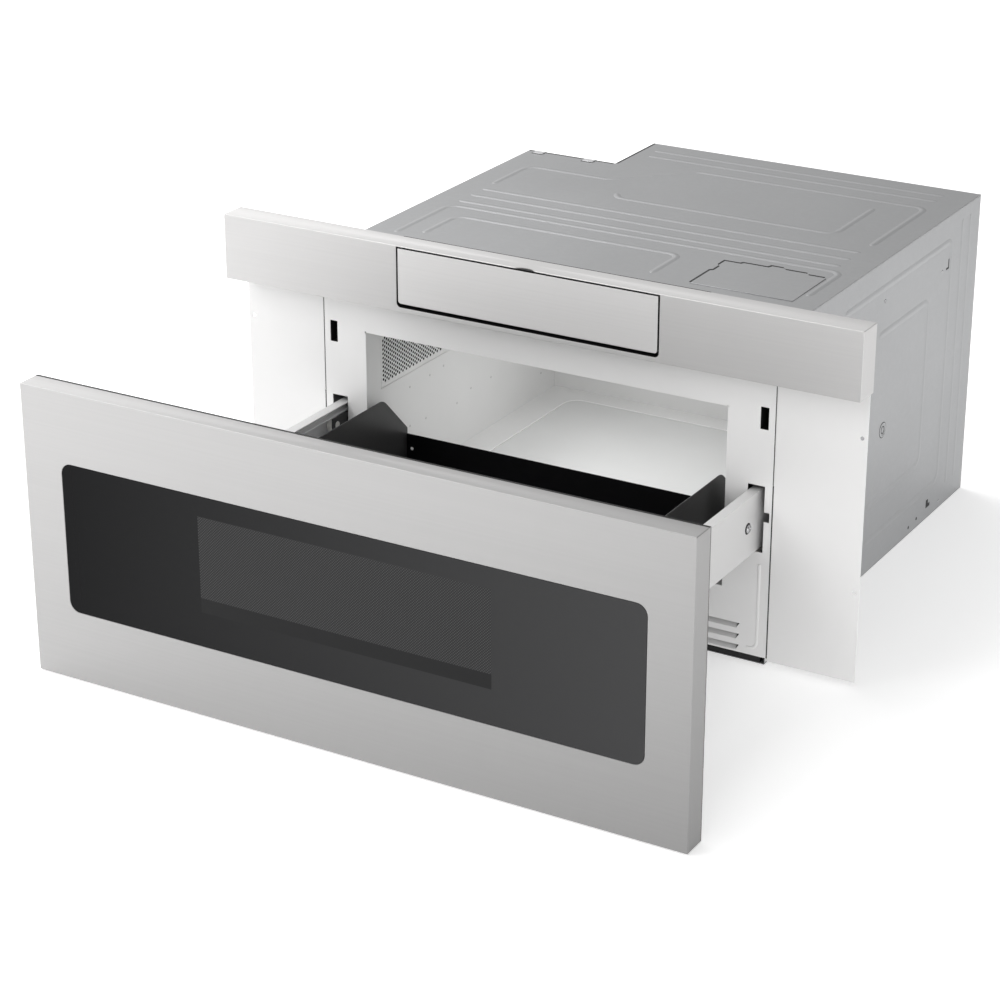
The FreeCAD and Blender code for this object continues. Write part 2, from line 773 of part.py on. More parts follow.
def make_control_bar():
    """A folded stainless box, open behind, with the panel's opening and its finger notch."""
    outer = block("bar_outer", (-half_front, bar_face, bar_low), (half_front, bar_back, bar_top))
    inner = block("bar_inner", (-half_front + s.skin, bar_face + s.skin, bar_low + s.skin),
                  (half_front - s.skin, bar_back - s.skin, bar_top - s.skin))
    back = block("bar_rear", (-half_front + s.bar_lip, bar_back - 2 * s.skin, bar_low + s.bar_lip),
                 (half_front - s.bar_lip, bar_back + s.skin, bar_top - s.bar_lip))
    side, low, high = s.panel_half + s.panel_gap, panel_low - s.panel_gap_low, bar_top - s.skin
    opening = plate("panel_opening", "XZ_Plane", -bar_face - 2 * s.skin, rectangle(-side, side, low, high),
                    4 * s.skin, [s.panel_corner, s.panel_corner, None, None])
    chord, depth = 12.0, 5.0
    arc = (chord * chord + depth * depth) / (2 * depth)
    notch = drum("finger_notch", arc, (0, bar_face - arc + depth, bar_top - 3 * s.skin), 6 * s.skin)
    return node("control_bar", cut("control_bar", outer, inner, back, opening, notch))


def make_bar_carrier():
    """The shallow pan that joins the control bar to the frame and the flanges."""
    half, low, high = half_front - 8.5, bar_low + 3.3, bar_top - 3.6
    rim = 6.0
    outer = block("carrier_outer", (-half, bar_back, low), (half, frame_face, high))
    inner = block("carrier_inner", (rim - half, bar_back - 1, low + rim),
                  (half - rim, frame_face - s.sheet, high - rim))
    side = cheek_out + 3.5
    middle = block("carrier_middle", (-side, bar_back - 2, housing_low - 1), (side, 1.0, housing_high + 1))
    return node("bar_carrier", cut("bar_carrier", outer, inner, middle))


def make_control_housing():
    """The plastic housing behind the hidden panel: it carries the panel's hinge."""
    front_y = frame_face - 13.0
    half = cheek_out + 1.5
    front = block("housing_front", (-half, front_y, housing_low), (half, frame_face, housing_high))
    rear = block("housing_rear", (-half - 22.0, frame_face, case_top), (half + 22.0, 25.0, case_top + 22.6))
    cheeks = []
    for side in (-1, 1):
        near, far = (cheek_in, cheek_out) if side > 0 else (-cheek_out, -cheek_in)
        cheeks.append(block(f"hinge_cheek_{side + 2}", (near, bar_face + 1.5 * s.skin, housing_low),
                            (far, front_y, housing_low + 15.0)))
    holes = prism("hinge_holes", 8, round_in_flats(s.pin_radius), (-half - 5.0, pin_y, pin_z), 2 * half + 10.0, "X")
    solid = cut("housing_bored", join("housing_solid", front, rear, *cheeks), holes)
    recess = block("housing_recess", (-s.panel_half, front_y - 1, housing_low + 3.0),
                   (s.panel_half, frame_face - 4.0, housing_high - 3.0))
    return node("control_housing", cut("control_housing", solid, recess))


def make_control_panel():
    """The hidden panel: a stainless cover, the housing behind it and the glass keypad inside."""
    cover = plate("panel_cover", "XZ_Plane", -bar_face - s.skin,
                  rectangle(-s.panel_half, s.panel_half, panel_low, panel_high), s.skin,
                  [s.panel_corner - 1, s.panel_corner - 1, 1.5, 1.5])
    node("panel_cover", cover)
    behind = bar_face + s.skin
    deep = 14.0
    half, keys = s.panel_half - 5.3, s.panel_half - 15.3
    box = block("panel_box", (-half, behind, panel_low + 1.0), (half, behind + deep, panel_high - 4.6))
    recess = block("panel_keys_recess", (-keys, behind + deep - 2.0, panel_low + 6.0),
                   (keys, behind + deep + 1.0, panel_high - 9.6))
    pins = drum("panel_pins", s.pin_radius, (-cheek_out, pin_y, pin_z), 2 * cheek_out, "X")
    node("panel_housing", cut("panel_housing", join("panel_solid", box, pins), recess))
    keyboard = block("key_panel", (0.3 - keys, behind + deep - 2.0, panel_low + 6.3),
                     (keys - 0.3, behind + deep - 0.4, panel_high - 9.9))
    node("key_panel", keyboard)


# ---- oven ----

def make_oven():
    """The welded cavity, open in front, with a window for the lamp and the vent in its left wall."""
    outer = block("liner_outer", (-liner_side, 0, s.oven_floor - s.sheet),
                  (liner_side, s.oven_deep + s.sheet, oven_top + s.sheet))
    inner = block("liner_inner", (-half_oven, -1, s.oven_floor), (half_oven, s.oven_deep, oven_top))
    window = block("vent_window", (-liner_side - 1, s.vent_front, vent_low),
                   (1 - half_oven, s.vent_back, vent_high))
    mouth = prism("well_mouth", 24, s.well_radius, (0, well_y, s.oven_floor - 2 * s.sheet), 3 * s.sheet)
    node("cavity_liner", cut("cavity_liner", outer, inner, window, mouth))
    plate_corners = rectangle(-plate_half, plate_half, plate_front, plate_back)
    node("floor_plate", plate("floor_plate", "XY_Plane", s.oven_floor, plate_corners, s.plate_thick,
                              s.plate_corner))


def make_antenna_well():
    """The twenty-four-sided pan under the oven's floor, in which the antenna turns."""
    top = s.oven_floor - s.sheet
    pan = prism("well_outer", 24, s.well_radius + s.sheet, (0, well_y, guide_top), top - guide_top)
    rim = prism("well_rim", 24, s.well_radius + 9.0, (0, well_y, top - s.sheet), s.sheet)
    hollow = prism("well_inner", 24, s.well_radius, (0, well_y, guide_top + s.sheet), s.well_deep + 5)
    hub = prism("well_hub", 12, 12.0, (0, well_y, guide_top - 5), 10.0)
    node("antenna_well", cut("antenna_well", join("well_pan", pan, rim), hollow, hub))


def make_vent_screen():
    """The perforated sheet in the left wall: a grid of six-sided holes, staggered in two sets."""
    screen = new_body("vent_screen")
    flat = sketch(screen, "vent_sheet_outline", "YZ_Plane", -liner_side)
    outline(flat, rectangle(s.vent_front, s.vent_back, vent_low, vent_high))
    pad(screen, "vent_sheet", flat, s.sheet)
    for number, shift in enumerate((0.0, 0.5), start=1):
        hole = sketch(screen, f"vent_hole_{number}", "YZ_Plane", -liner_side)
        across = s.vent_front + s.vent_pitch * (0.75 + shift)
        up = vent_low + s.vent_pitch * (0.6 + shift)
        outline(hole, around(across, up, s.vent_hole, 6))
        first = pocket_through(screen, f"vent_cut_{number}", hole)
        grid = screen.newObject("PartDesign::MultiTransform", f"vent_grid_{number}")
        grid.Originals = [first]
        rows = []
        for word, role, count in (("along", "Y_Axis", 7 - number), ("up", "Z_Axis", 2)):
            step = screen.newObject("PartDesign::LinearPattern", f"vent_{word}_{number}")
            axis = next(feature for feature in screen.Origin.OriginFeatures if feature.Role == role)
            step.Direction = (axis, [""])
            step.Mode = "Spacing"
            bind(step, "Offset", s.vent_pitch)
            step.Occurrences = count
            rows.append(step)
        grid.Transformations = rows
        screen.Tip = grid
    return node("vent_screen", screen)


def make_microwave_feed():
    """Waveguide under the oven, magnetron behind it, and the antenna with its motor."""
    wide, back, wall = 45.0, case_deep - 25.0, 1.2
    outer = block("guide_outer", (-wide, well_y - wide, guide_low), (wide, back, guide_top))
    inner = block("guide_inner", (wall - wide, well_y - wide + wall, guide_low + wall),
                  (wide - wall, back - wall, guide_top - wall))
    shaft_hole = prism("guide_shaft_hole", 8, round_in_flats(s.hub_radius), (0, well_y, guide_low - 1), 3.0)
    feed_hole = prism("guide_feed_hole", 12, 12.0, (0, well_y, guide_top - 2), 3.0)
    tube_y = s.oven_deep + 59.5
    tube_hole = block("guide_tube_hole", (-10.0, tube_y - 10, guide_top - 2), (10.0, tube_y + 10, guide_top + 1))
    node("waveguide", cut("waveguide", outer, inner, shaft_hole, feed_hole, tube_hole))
    make_magnetron(tube_y, guide_top, guide_top + 84.0)
    can = block("antenna_motor_can", (-24.0, well_y - 24.0, s.sheet), (24.0, well_y + 24.0, guide_low))
    socket = prism("antenna_motor_socket", 8, round_in_flats(s.hub_radius), (0, well_y, guide_low - 6.0), 8.0)
    node("antenna_motor", cut("antenna_motor", can, socket))
    make_antenna()


def make_magnetron(y, low, high):
    """A finned tube in its yoke, with its antenna down in the waveguide."""
    yoke = block("yoke_outer", (-46.0, y - 42, low), (46.0, y + 42, high))
    hollow = block("yoke_inner", (-44.4, y - 46, low + 8.0), (44.4, y + 46, high - 8.0))
    pieces = [cut("yoke", yoke, hollow)]
    pieces.append(prism("anode", 8, 20.0, (0, y, low + 8.0), high - low - 16.0))
    pieces.append(prism("antenna_tube", 8, 8.0, (0, y, low - 14.0), 20.0))
    for number in range(6):
        level = low + 17.0 + number * 9.0
        pieces.append(block(f"cooling_fin_{number + 1}", (-44.6, y - 38, level), (44.6, y + 38, level + 1.2)))
    node("magnetron", join("magnetron", *pieces))


def make_antenna():
    """A slotted disc on the motor's shaft, turning in the well."""
    disc_z = s.oven_floor - 13.0
    foot = guide_low - 6.0
    spindle = prism("antenna_spindle", 8, s.hub_radius, (0, well_y, foot), disc_z + 0.5 - foot)
    disc = drum("antenna_disc", s.well_radius - 20.0, (0, well_y, disc_z), 1.5)
    gaps = []
    for number in range(4):
        along, aside = math.cos(math.radians(90 * number)), math.sin(math.radians(90 * number))
        gap = doc.addObject("Part::Box", f"antenna_gap_{number + 1}")
        bind(gap, "Length", s.well_radius)
        bind(gap, "Width", 18.0)
        bind(gap, "Height", 4.0)
        gap.Placement = FreeCAD.Placement(Vector(), Rotation(Vector(0, 0, 1), 90 * number))
        place(gap, (26.0 * along + 9.0 * aside, well_y + 26.0 * aside - 9.0 * along, disc_z - 1))
        gaps.append(gap)
    node("antenna_rotor", join("antenna_rotor", spindle, cut("antenna_blades", disc, *gaps)))


def make_electrics():
    """Transformer, supply board and oven lamp on the base pan and the oven's wall."""
    floor = s.sheet
    core_x, core_y = half_oven - 70.0, s.oven_deep + 23.5
    core = block("core", (core_x, core_y, floor), (core_x + 86, core_y + 85, 72.0))
    coil = block("coil", (core_x + 13, core_y - 12, 14.0), (core_x + 73, core_y + 97, 60.0))
    node("power_transformer", join("power_transformer", core, coil))
    left, right, front, back = -half_oven - 16.0, 100.0 - half_oven, 60.0, 250.0
    pieces = [block("board", (left, front, 9.0), (right, back, 10.6))]
    posts = [(x, y) for x in (left + 6, right - 6) for y in (front + 6, back - 6)]
    for number, (x, y) in enumerate(posts, start=1):
        pieces.append(prism(f"board_post_{number}", 6, 3.5, (x, y, floor), 8.5))
    parts = [(21.0, 30.0, 34.0, 30.0, 26.0), (76.0, 28.0, 20.0, 26.0, 22.0), (26.0, 90.0, 26.0, 44.0, 18.0),
             (71.0, 100.0, 18.0, 18.0, 30.0), (36.0, 155.0, 50.0, 14.0, 14.0)]
    for number, (along, deep, wide, long, tall) in enumerate(parts, start=1):
        x, y = left + along, front + deep
        pieces.append(block(f"board_part_{number}", (x, y, 10.6), (x + wide, y + long, 10.6 + tall)))
    node("power_board", join("power_board", *pieces))
    far, near = -liner_side - 22.0, -liner_side
    lamp_front, lamp_back, low, high = s.vent_front + 32, s.vent_back - 36, vent_low + 8, vent_high - 4
    shell = block("lamp_shell", (far, lamp_front, low), (near, lamp_back, high))
    hollow = block("lamp_hollow", (far + 1, lamp_front + 1, low + 1), (near + 1, lamp_back - 1, high - 1))
    bulb = prism("lamp_bulb", 12, 9.0, (far + 0.5, (lamp_front + lamp_back) / 2, (low + high) / 2), 17.0, "X")
    node("oven_lamp", join("oven_lamp", cut("lamp_box", shell, hollow), bulb))


def make_fan():
    """An axial fan: a plate on feet with its round mouth and motor, and the impeller on the motor's shaft."""
    fan_x, fan_y, fan_z, fan_r = 92.0, s.oven_deep + 59.5, 98.0, 38.0
    frame = block("fan_plate", (fan_x - 9, fan_y - 46, s.sheet), (fan_x + 9, fan_y + 46, fan_z + 46))
    bore = prism("fan_bore", 20, fan_r + 2.5, (fan_x - 10, fan_y, fan_z), 16.0, "X")
    between = block("fan_leg_gap", (fan_x - 10, fan_y - 34, 0), (fan_x + 10, fan_y + 34, 40.0))
    motor = prism("fan_motor_can", 12, 19.0, (fan_x + 9, fan_y, fan_z), 26.0, "X")
    seat = prism("fan_shaft_seat", 8, round_in_flats(3.0), (fan_x + 4, fan_y, fan_z), 12.0, "X")
    vents = []
    for number in range(8):
        angle = math.radians(45 * number + 22.5)
        y, z = fan_y + 29 * math.cos(angle), fan_z + 29 * math.sin(angle)
        vents.append(prism(f"fan_vent_{number + 1}", 6, 6.5, (fan_x + 4, y, z), 6.0, "X"))
    housing = join("fan_solid", cut("fan_frame", frame, bore, between, *vents), motor)
    node("fan_housing", cut("fan_housing", housing, seat))
    fan = new_body("fan_impeller")
    hub = sketch(fan, "fan_hub_outline", "YZ_Plane", fan_x - 7)
    outline(hub, around(fan_y, fan_z, 11.0, 14))
    pad(fan, "fan_hub", hub, 11.0)
    shaft = sketch(fan, "fan_shaft_outline", "YZ_Plane", fan_x - 7)
    ring(shaft, fan_y, fan_z, 3.0)
    pad(fan, "fan_shaft", shaft, 20.0)
    node("fan_impeller", fan_blades(fan, fan_x, fan_y, fan_z, fan_r))


def fan_blades(fan, fan_x, fan_y, fan_z, fan_r):
    """One slanted blade, repeated round the hub by a polar pattern about the fan's own axis."""
    blade = sketch(fan, "fan_blade_root", "XY_Plane", fan_z + 9.0)
    slant = [(fan_x - 6, fan_y - 6.0), (fan_x - 4.6, fan_y - 6.0), (fan_x + 2.4, fan_y + 6.0),
             (fan_x + 1.0, fan_y + 6.0)]
    outline(blade, slant)
    vane = pad(fan, "fan_vane", blade, fan_r - 9.0)
    axle = sketch(fan, "fan_axle_line", "XY_Plane", fan_z)
    axle_line(axle, fan_y)
    wheel = fan.newObject("PartDesign::PolarPattern", "fan_wheel")
    wheel.Originals = [vane]
    wheel.Axis = (axle, ["Axis0"])
    wheel.Angle = 360
    wheel.Occurrences = 7
    fan.Tip = wheel
    return fan


# ---- slides ----

def make_rail_mount():
    """The channel that carries the fixed rail on the oven's side."""
    deep, low, high, leg = rail_face - liner_side, rail_low + 3, rail_high - 3, s.sheet
    section = [(liner_side, low), (rail_face, low), (rail_face, low + leg), (liner_side + leg, low + leg),
               (liner_side + leg, high - leg), (rail_face, high - leg), (rail_face, high), (liner_side, high)]
    length = rail_back - 30.0
    mount = plate("right_rail_mount", "XZ_Plane", -rail_back + 8.0, section, length)
    node("right_rail_mount", mount)
    node("left_rail_mount", mirrored("left_rail_mount", mount))


def make_fixed_rail():
    """A channel open to the arm, with a raised nose in front that carries a roller."""
    rail = new_body("right_fixed_rail")
    section = sketch(rail, "fixed_rail_section", "XZ_Plane", -rail_back)
    outline(section, [(rail_face, rail_low), (rail_free, rail_low), (rail_free, rail_low + s.rail_sheet),
                      (rail_web, rail_low + s.rail_sheet), (rail_web, channel_top), (rail_free, channel_top),
                      (rail_free, rail_high), (rail_face, rail_high)])
    pad(rail, "fixed_rail_channel", section, rail_back - nose_y)
    nose = sketch(rail, "nose_outline", "YZ_Plane", rail_face)
    outline(nose, [(nose_y, rail_low), (s.nose_back, rail_low), (s.nose_back, nose_top - 8.0),
                   (s.nose_back - 8.0, nose_top), (nose_y, nose_top)])
    pad(rail, "nose_plate", nose, s.rail_sheet)
    relief = sketch(rail, "roller_relief", "YZ_Plane", rail_web)
    clear = s.roller_radius + 1.6
    outline(relief, rectangle(nose_y - 1, nose_roller_y + clear, channel_top - 1, rail_high + 1))
    feature = rail.newObject("PartDesign::Pocket", "roller_relief_cut")
    feature.Profile = relief
    bind(feature, "Length", rail_free - rail_web + 1)
    feature.Reversed = True
    rail.Tip = feature
    hub = sketch(rail, "nose_hub_hole", "YZ_Plane", 0)
    ring(hub, nose_roller_y, nose_roller_z, s.hub_radius + s.running)
    pocket_through(rail, "nose_hub_cut", hub)
    node("right_fixed_rail", rail)
    node("left_fixed_rail", mirrored("left_fixed_rail", rail))


def make_moving_rail():
    """The drawer's own channel: its top flange rides on the nose roller."""
    rail = new_body("right_moving_rail")
    web, inner = arm_web - s.rail_sheet, rail_web + 0.6
    low = rail_low - 3.3
    top = moving_top + s.rail_sheet
    section = sketch(rail, "moving_rail_section", "XZ_Plane", 2 - arm_back)
    outline(section, [(web, moving_top), (inner, moving_top), (inner, top), (arm_web, top), (arm_web, low),
                      (arm_web - s.lip_wide, low), (arm_web - s.lip_wide, low + s.rail_sheet),
                      (web, low + s.rail_sheet)])
    pad(rail, "moving_rail_channel", section, arm_back - 2 - door_back - 4)
    hub = sketch(rail, "tail_hub_hole", "YZ_Plane", 0)
    ring(hub, tail_roller_y, tail_roller_z, s.hub_radius + s.running)
    pocket_through(rail, "tail_hub_cut", hub)
    node("right_moving_rail", rail)
    node("left_moving_rail", mirrored("left_moving_rail", rail))


def rail_window():
    """The free space that the fixed rail's nose needs when the door is shut."""
    return rectangle(rail_face - s.rail_hole, arm_web - 0.4, rail_low - s.rail_hole, nose_top + s.rail_hole)


def make_arm():
    """The drawer arm: a web with a top flange and a foot that screws to the door."""
    arm = new_body("right_arm")
    section = sketch(arm, "arm_section", "XZ_Plane", -arm_back)
    outline(section, [(arm_web, arm_low), (arm_face, arm_low), (arm_face, arm_high),
                      (arm_inner, arm_high), (arm_inner, arm_high - s.arm_sheet),
                      (arm_web, arm_high - s.arm_sheet)])
    pad(arm, "arm_sheet_metal", section, arm_back - door_back)
    foot = sketch(arm, "arm_foot_outline", "XZ_Plane", -door_back - s.arm_sheet)
    outline(foot, rectangle(arm_face - s.foot_wide, arm_face, arm_low, arm_high - 5.0))
    outline(foot, rail_window())
    pad(arm, "arm_foot", foot, s.arm_sheet)
    node("right_arm", arm)
    node("left_arm", mirrored("left_arm", arm))


def make_rollers():
    """Nylon rollers: a round tread, and a hub with flats that runs in its rail's round hole."""
    wide = roller_in + s.roller_wide
    for word, y, z, hub_from, hub_to in (("nose", nose_roller_y, nose_roller_z, rail_face - 0.7, roller_in + 1),
                                         ("tail", tail_roller_y, tail_roller_z, wide - 1, arm_web - 0.2)):
        body = new_body(f"right_{word}_roller")
        profile = sketch(body, f"{word}_roller_section", "XY_Plane", z)
        rim = y + s.roller_radius
        outline(profile, [(roller_in, y), (wide, y), (wide, rim), (roller_in, rim)])
        axle_line(profile, y)
        wheel = body.newObject("PartDesign::Revolution", f"{word}_roller_tread")
        wheel.Profile = profile
        wheel.ReferenceAxis = (profile, ["Axis0"])
        wheel.Angle = 360
        body.Tip = wheel
        hub = sketch(body, f"{word}_hub_outline", "YZ_Plane", hub_from)
        outline(hub, around(y, z, s.hub_radius, 12))
        pad(body, f"{word}_hub", hub, hub_to - hub_from)
        node(f"right_{word}_roller", body)
        node(f"left_{word}_roller", mirrored(f"left_{word}_roller", body))


# ---- drawer drive ----

pitch = s.tooth_module * math.pi
pitch_radius = s.tooth_module * s.pinion_teeth / 2
pinion_z = rack_tip + s.tooth_module - pitch_radius
root_depth = s.tooth_module * 1.25
gear_in = arm_web - s.gear_wide - 0.6


def make_rack():
    """The toothed bar inside the right arm, teeth downwards."""
    rack = new_body("drive_rack")
    root = rack_tip + s.tooth_module + root_depth
    back = arm_back - 2
    ahead = math.ceil((s.travel + 2 * pitch).number / pitch.number)
    behind = math.floor((back - s.pinion_y).number / pitch.number)
    bar = sketch(rack, "rack_bar_outline", "YZ_Plane", gear_in)
    outline(bar, rectangle(s.pinion_y - pitch * ahead, back, root, rack_top))
    pad(rack, "rack_bar", bar, arm_web - gear_in)
    tooth = sketch(rack, "rack_tooth_outline", "YZ_Plane", gear_in)
    middle = s.pinion_y - pitch * (ahead - 0.5)
    slope = math.tan(math.radians(20))
    tip_half = pitch / 4 - s.tooth_module * slope - 0.1
    foot_half = pitch / 4 + root_depth * slope - 0.1
    outline(tooth, [(middle - foot_half, root + 0.2), (middle - tip_half, rack_tip),
                    (middle + tip_half, rack_tip), (middle + foot_half, root + 0.2)])
    first = pad(rack, "rack_tooth", tooth, s.gear_wide)
    repeat(rack, "rack_teeth", [first], "Y_Axis", pitch, ahead + behind)
    return node("drive_rack", rack)


def make_pinion():
    """Sixteen-tooth pinion: straight-sided teeth that follow the involute's width at three heights."""
    pinion = new_body("drive_pinion")
    y, z = s.pinion_y, pinion_z
    disc = sketch(pinion, "pinion_root", "YZ_Plane", gear_in)
    ring(disc, y, z, pitch_radius - root_depth)
    pad(pinion, "pinion_disc", disc, s.gear_wide)
    shaft = sketch(pinion, "pinion_shaft_outline", "YZ_Plane", gear_in - 16.0)
    ring(shaft, y, z, 4.0)
    pad(pinion, "pinion_shaft", shaft, 17.0)
    tooth = sketch(pinion, "pinion_tooth_outline", "YZ_Plane", gear_in)
    root, tip = z - pitch_radius + root_depth + 0.4, z - pitch_radius - s.tooth_module + 0.1
    outline(tooth, [(y - 1.22, root), (y - 1.08, z - pitch_radius), (y - 0.42, tip),
                    (y + 0.42, tip), (y + 1.08, z - pitch_radius), (y + 1.22, root)])
    first = pad(pinion, "pinion_tooth", tooth, s.gear_wide)
    axle = sketch(pinion, "pinion_axle", "XY_Plane", z)
    axle_line(axle, y)
    wheel = pinion.newObject("PartDesign::PolarPattern", "pinion_teeth")
    wheel.Originals = [first]
    wheel.Axis = (axle, ["Axis0"])
    wheel.Angle = 360
    wheel.Occurrences = int(s.pinion_teeth.number)
    pinion.Tip = wheel
    return node("drive_pinion", pinion)


def make_gearmotor():
    """The flat gearbox beside the oven, on the base pan, and its motor under the oven."""
    left, right = liner_side + 1.0, gear_in - 3.4
    box = block("gearbox", (left, 8.0, s.sheet), (right, 66.0, pinion_z + 14.0))
    motor = prism("drive_motor_can", 16, 20.0, (left - 62.0, 36.0, 44.0), 64.0, "X")
    bore = prism("gearbox_bore", 8, round_in_flats(4.0), (gear_in - 17.0, s.pinion_y, pinion_z), 20.0, "X")
    return node("drive_gearmotor", cut("drive_gearmotor", join("gearmotor_solid", box, motor), bore))


# ---- drawer ----

def make_tray():
    low, inner, outer = tray_low, tray_half - s.tray_sheet / 2, tray_half + s.tray_sheet / 2
    corner_y = tray_back - s.tray_slope
    side = plate("tray_right_side", "YZ_Plane", inner,
                 [(door_back, low), (tray_back, low), (tray_back, tray_high - s.tray_slope),
                  (corner_y, tray_high), (door_back, tray_high)],
                 s.tray_sheet, [None, None, 4.0, s.tray_corner, None])
    node("tray_right_side", side)
    node("tray_left_side", mirrored("tray_left_side", side))
    sheet_back = tray_back - 2 * s.tray_sheet
    pan = block("pan_solid", (-inner, door_back, low), (inner, tray_back, glass_top - s.glass_floor))
    hollow = block("pan_hollow", (s.tray_rim - inner, door_back + s.tray_rim, low + 2.0),
                   (inner - s.tray_rim, tray_back - s.tray_rim, glass_top))
    wall = block("pan_rear_wall", (-inner, sheet_back, low), (inner, tray_back, (tray_low + s.tray_rear_tall)))
    node("tray_base", join("tray_base", cut("pan", pan, hollow), wall))
    floor = block("tray_glass", (0.3 - inner, door_back + 0.3, glass_top - s.glass_floor),
                  (inner - 0.3, sheet_back - 0.3, glass_top))
    node("tray_glass", floor)


def make_door():
    skin_back = cover_face
    shell = new_body("door_skin")
    flat = sketch(shell, "door_outline", "XZ_Plane", -skin_back)
    outline(flat, rectangle(-half_front, half_front, s.door_lift, door_top))
    pad(shell, "door_block", flat, skin_back - door_face)
    hollow = sketch(shell, "door_hollow_outline", "XZ_Plane", -skin_back)
    outline(hollow, rectangle(s.skin - half_front, half_front - s.skin, s.door_lift + s.skin, door_top - s.skin))
    feature = shell.newObject("PartDesign::Pocket", "door_hollow")
    feature.Profile = hollow
    bind(feature, "Length", skin_back - door_face - s.skin)
    feature.Reversed = True
    shell.Tip = feature
    window = sketch(shell, "door_window_outline", "XZ_Plane", 0)
    outline(window, rectangle(-window_half, window_half, s.window_low, s.window_high), s.window_corner)
    pocket_through(shell, "door_window", window)
    node("door_skin", shell)
    gap = s.glass_gap
    pane = plate("door_glass", "XZ_Plane", -door_face - s.glass_thick,
                 rectangle(gap - window_half, window_half - gap, s.window_low + gap, s.window_high - gap),
                 s.glass_thick, s.window_corner - gap)
    node("door_glass", pane)
    make_door_inside()


def make_door_inside():
    pane_back = door_face + s.glass_thick
    half, low, high = half_front - 16.0, s.door_lift + 16.0, door_top - 16.0
    plate_back = pane_back + s.frame_plate
    outer = block("door_frame_outer", (-half, pane_back, low), (half, cover_face, high))
    inner = block("door_frame_inner", (2.0 - half, plate_back, low + 2.0), (half - 2.0, cover_face + 1, high - 2.0))
    view = block("door_frame_view", (-s.view_half - 2.5, pane_back - 1, s.view_low - 2.5),
                 (s.view_half + 2.5, plate_back + 1, s.view_high + 2.5))
    choke_out = block("choke_outer", (-half_oven - 22.0, plate_back - 0.5, s.oven_floor - 22.0),
                      (half_oven + 22.0, cover_face, oven_top + 16.0))
    choke_in = block("choke_inner", (-half_oven - 4.0, plate_back - 1, s.oven_floor - 4.0),
                     (half_oven + 4.0, cover_face + 1, oven_top + 2.0))
    gaps = []
    for side, word in ((1, "right"), (-1, "left")):
        corners = [(side * across, up) for across, up in rail_window()]
        gaps.append(plate(f"door_frame_{word}_gap", "XZ_Plane", -plate_back - 1, corners, s.frame_plate + 2))
    shell = cut("door_frame_shell", outer, inner, view, *gaps)
    node("door_frame", join("door_frame", shell, cut("door_choke", choke_out, choke_in)))
    edge = 6.0
    screen = block("door_screen", (-s.view_half - edge, plate_back, s.view_low - edge),
                   (s.view_half + edge, plate_back + 0.8, s.view_high + edge))
    node("door_screen", screen)
    back = plate("door_back_cover", "XZ_Plane", -door_back,
                 rectangle(s.cover_inset - half_front, half_front - s.cover_inset,
                           s.door_lift + s.cover_inset, door_top - s.cover_inset), s.cover_thick)
    for side, word in ((1, "right"), (-1, "left")):
        gap = sketch(back, f"{word}_rail_hole", "XZ_Plane", 0)
        outline(gap, [(side * across, up) for across, up in rail_window()])
        pocket_through(back, f"{word}_rail_cut", gap)
    hole = sketch(back, "inner_window_hole", "XZ_Plane", 0)
    out = 14.0
    outline(hole, rectangle(-s.view_half - out, s.view_half + out, s.view_low - 2.0, s.view_high + out), 6.0)
    pocket_through(back, "inner_window_cut", hole)
    node("door_back_cover", back)
    pane = plate("inner_window", "XZ_Plane", -door_back,
                 rectangle(0.3 - s.view_half - out, s.view_half + out - 0.3, s.view_low - 1.7,
                           s.view_high + out - 0.3), 3.0, 5.7)
    node("inner_window", pane)


def make_latch_hooks():
    """Two hooks behind the door that enter the frame's slots and work the interlock."""
    hooks = []
    middle = (latch_low + latch_high) / 2
    for side in (-1, 1):
        x = side * (latch_inner + s.latch_wide / 2)
        stem = block(f"hook_stem_{side + 2}", (x - 2.2, door_back, middle - 7.0), (x + 2.2, door_back + 28.0, middle))
        head = block(f"hook_head_{side + 2}", (x - 2.2, door_back + 22.0, middle - 7.0),
                     (x + 2.2, door_back + 28.0, middle + 7.0))
        hooks.append(join(f"hook_{side + 2}", stem, head))
    return node("latch_hooks", group("latch_hooks", *hooks))


def make_latch_switches():
    """The interlock blocks behind the frame's latch slots."""
    blocks = []
    for side in (-1, 1):
        near, far = latch_inner - 5.0, case_inside
        low, high = (near, far) if side > 0 else (-far, -near)
        case = block(f"switch_case_{side + 2}", (low, 0, latch_low - 8.0), (high, 44.0, latch_high + 8.0))
        inner, outer = latch_inner, latch_inner + s.latch_wide
        first, last = (inner, outer) if side > 0 else (-outer, -inner)
        mouth = block(f"switch_mouth_{side + 2}", (first, -1, latch_low), (last, 30.0, latch_high))
        blocks.append(cut(f"switch_{side + 2}", case, mouth))
    return node("latch_switches", group("latch_switches", *blocks))


def screw_head(name, base, axis, outward, sides, radius, tall):
    """A screw's head, standing out of the face that base lies on."""
    start = list(base)
    if outward < 0:
        step = "XYZ".index(axis)
        start[step] = start[step] - tall
    return prism(name, sides, radius, tuple(start), tall, axis)


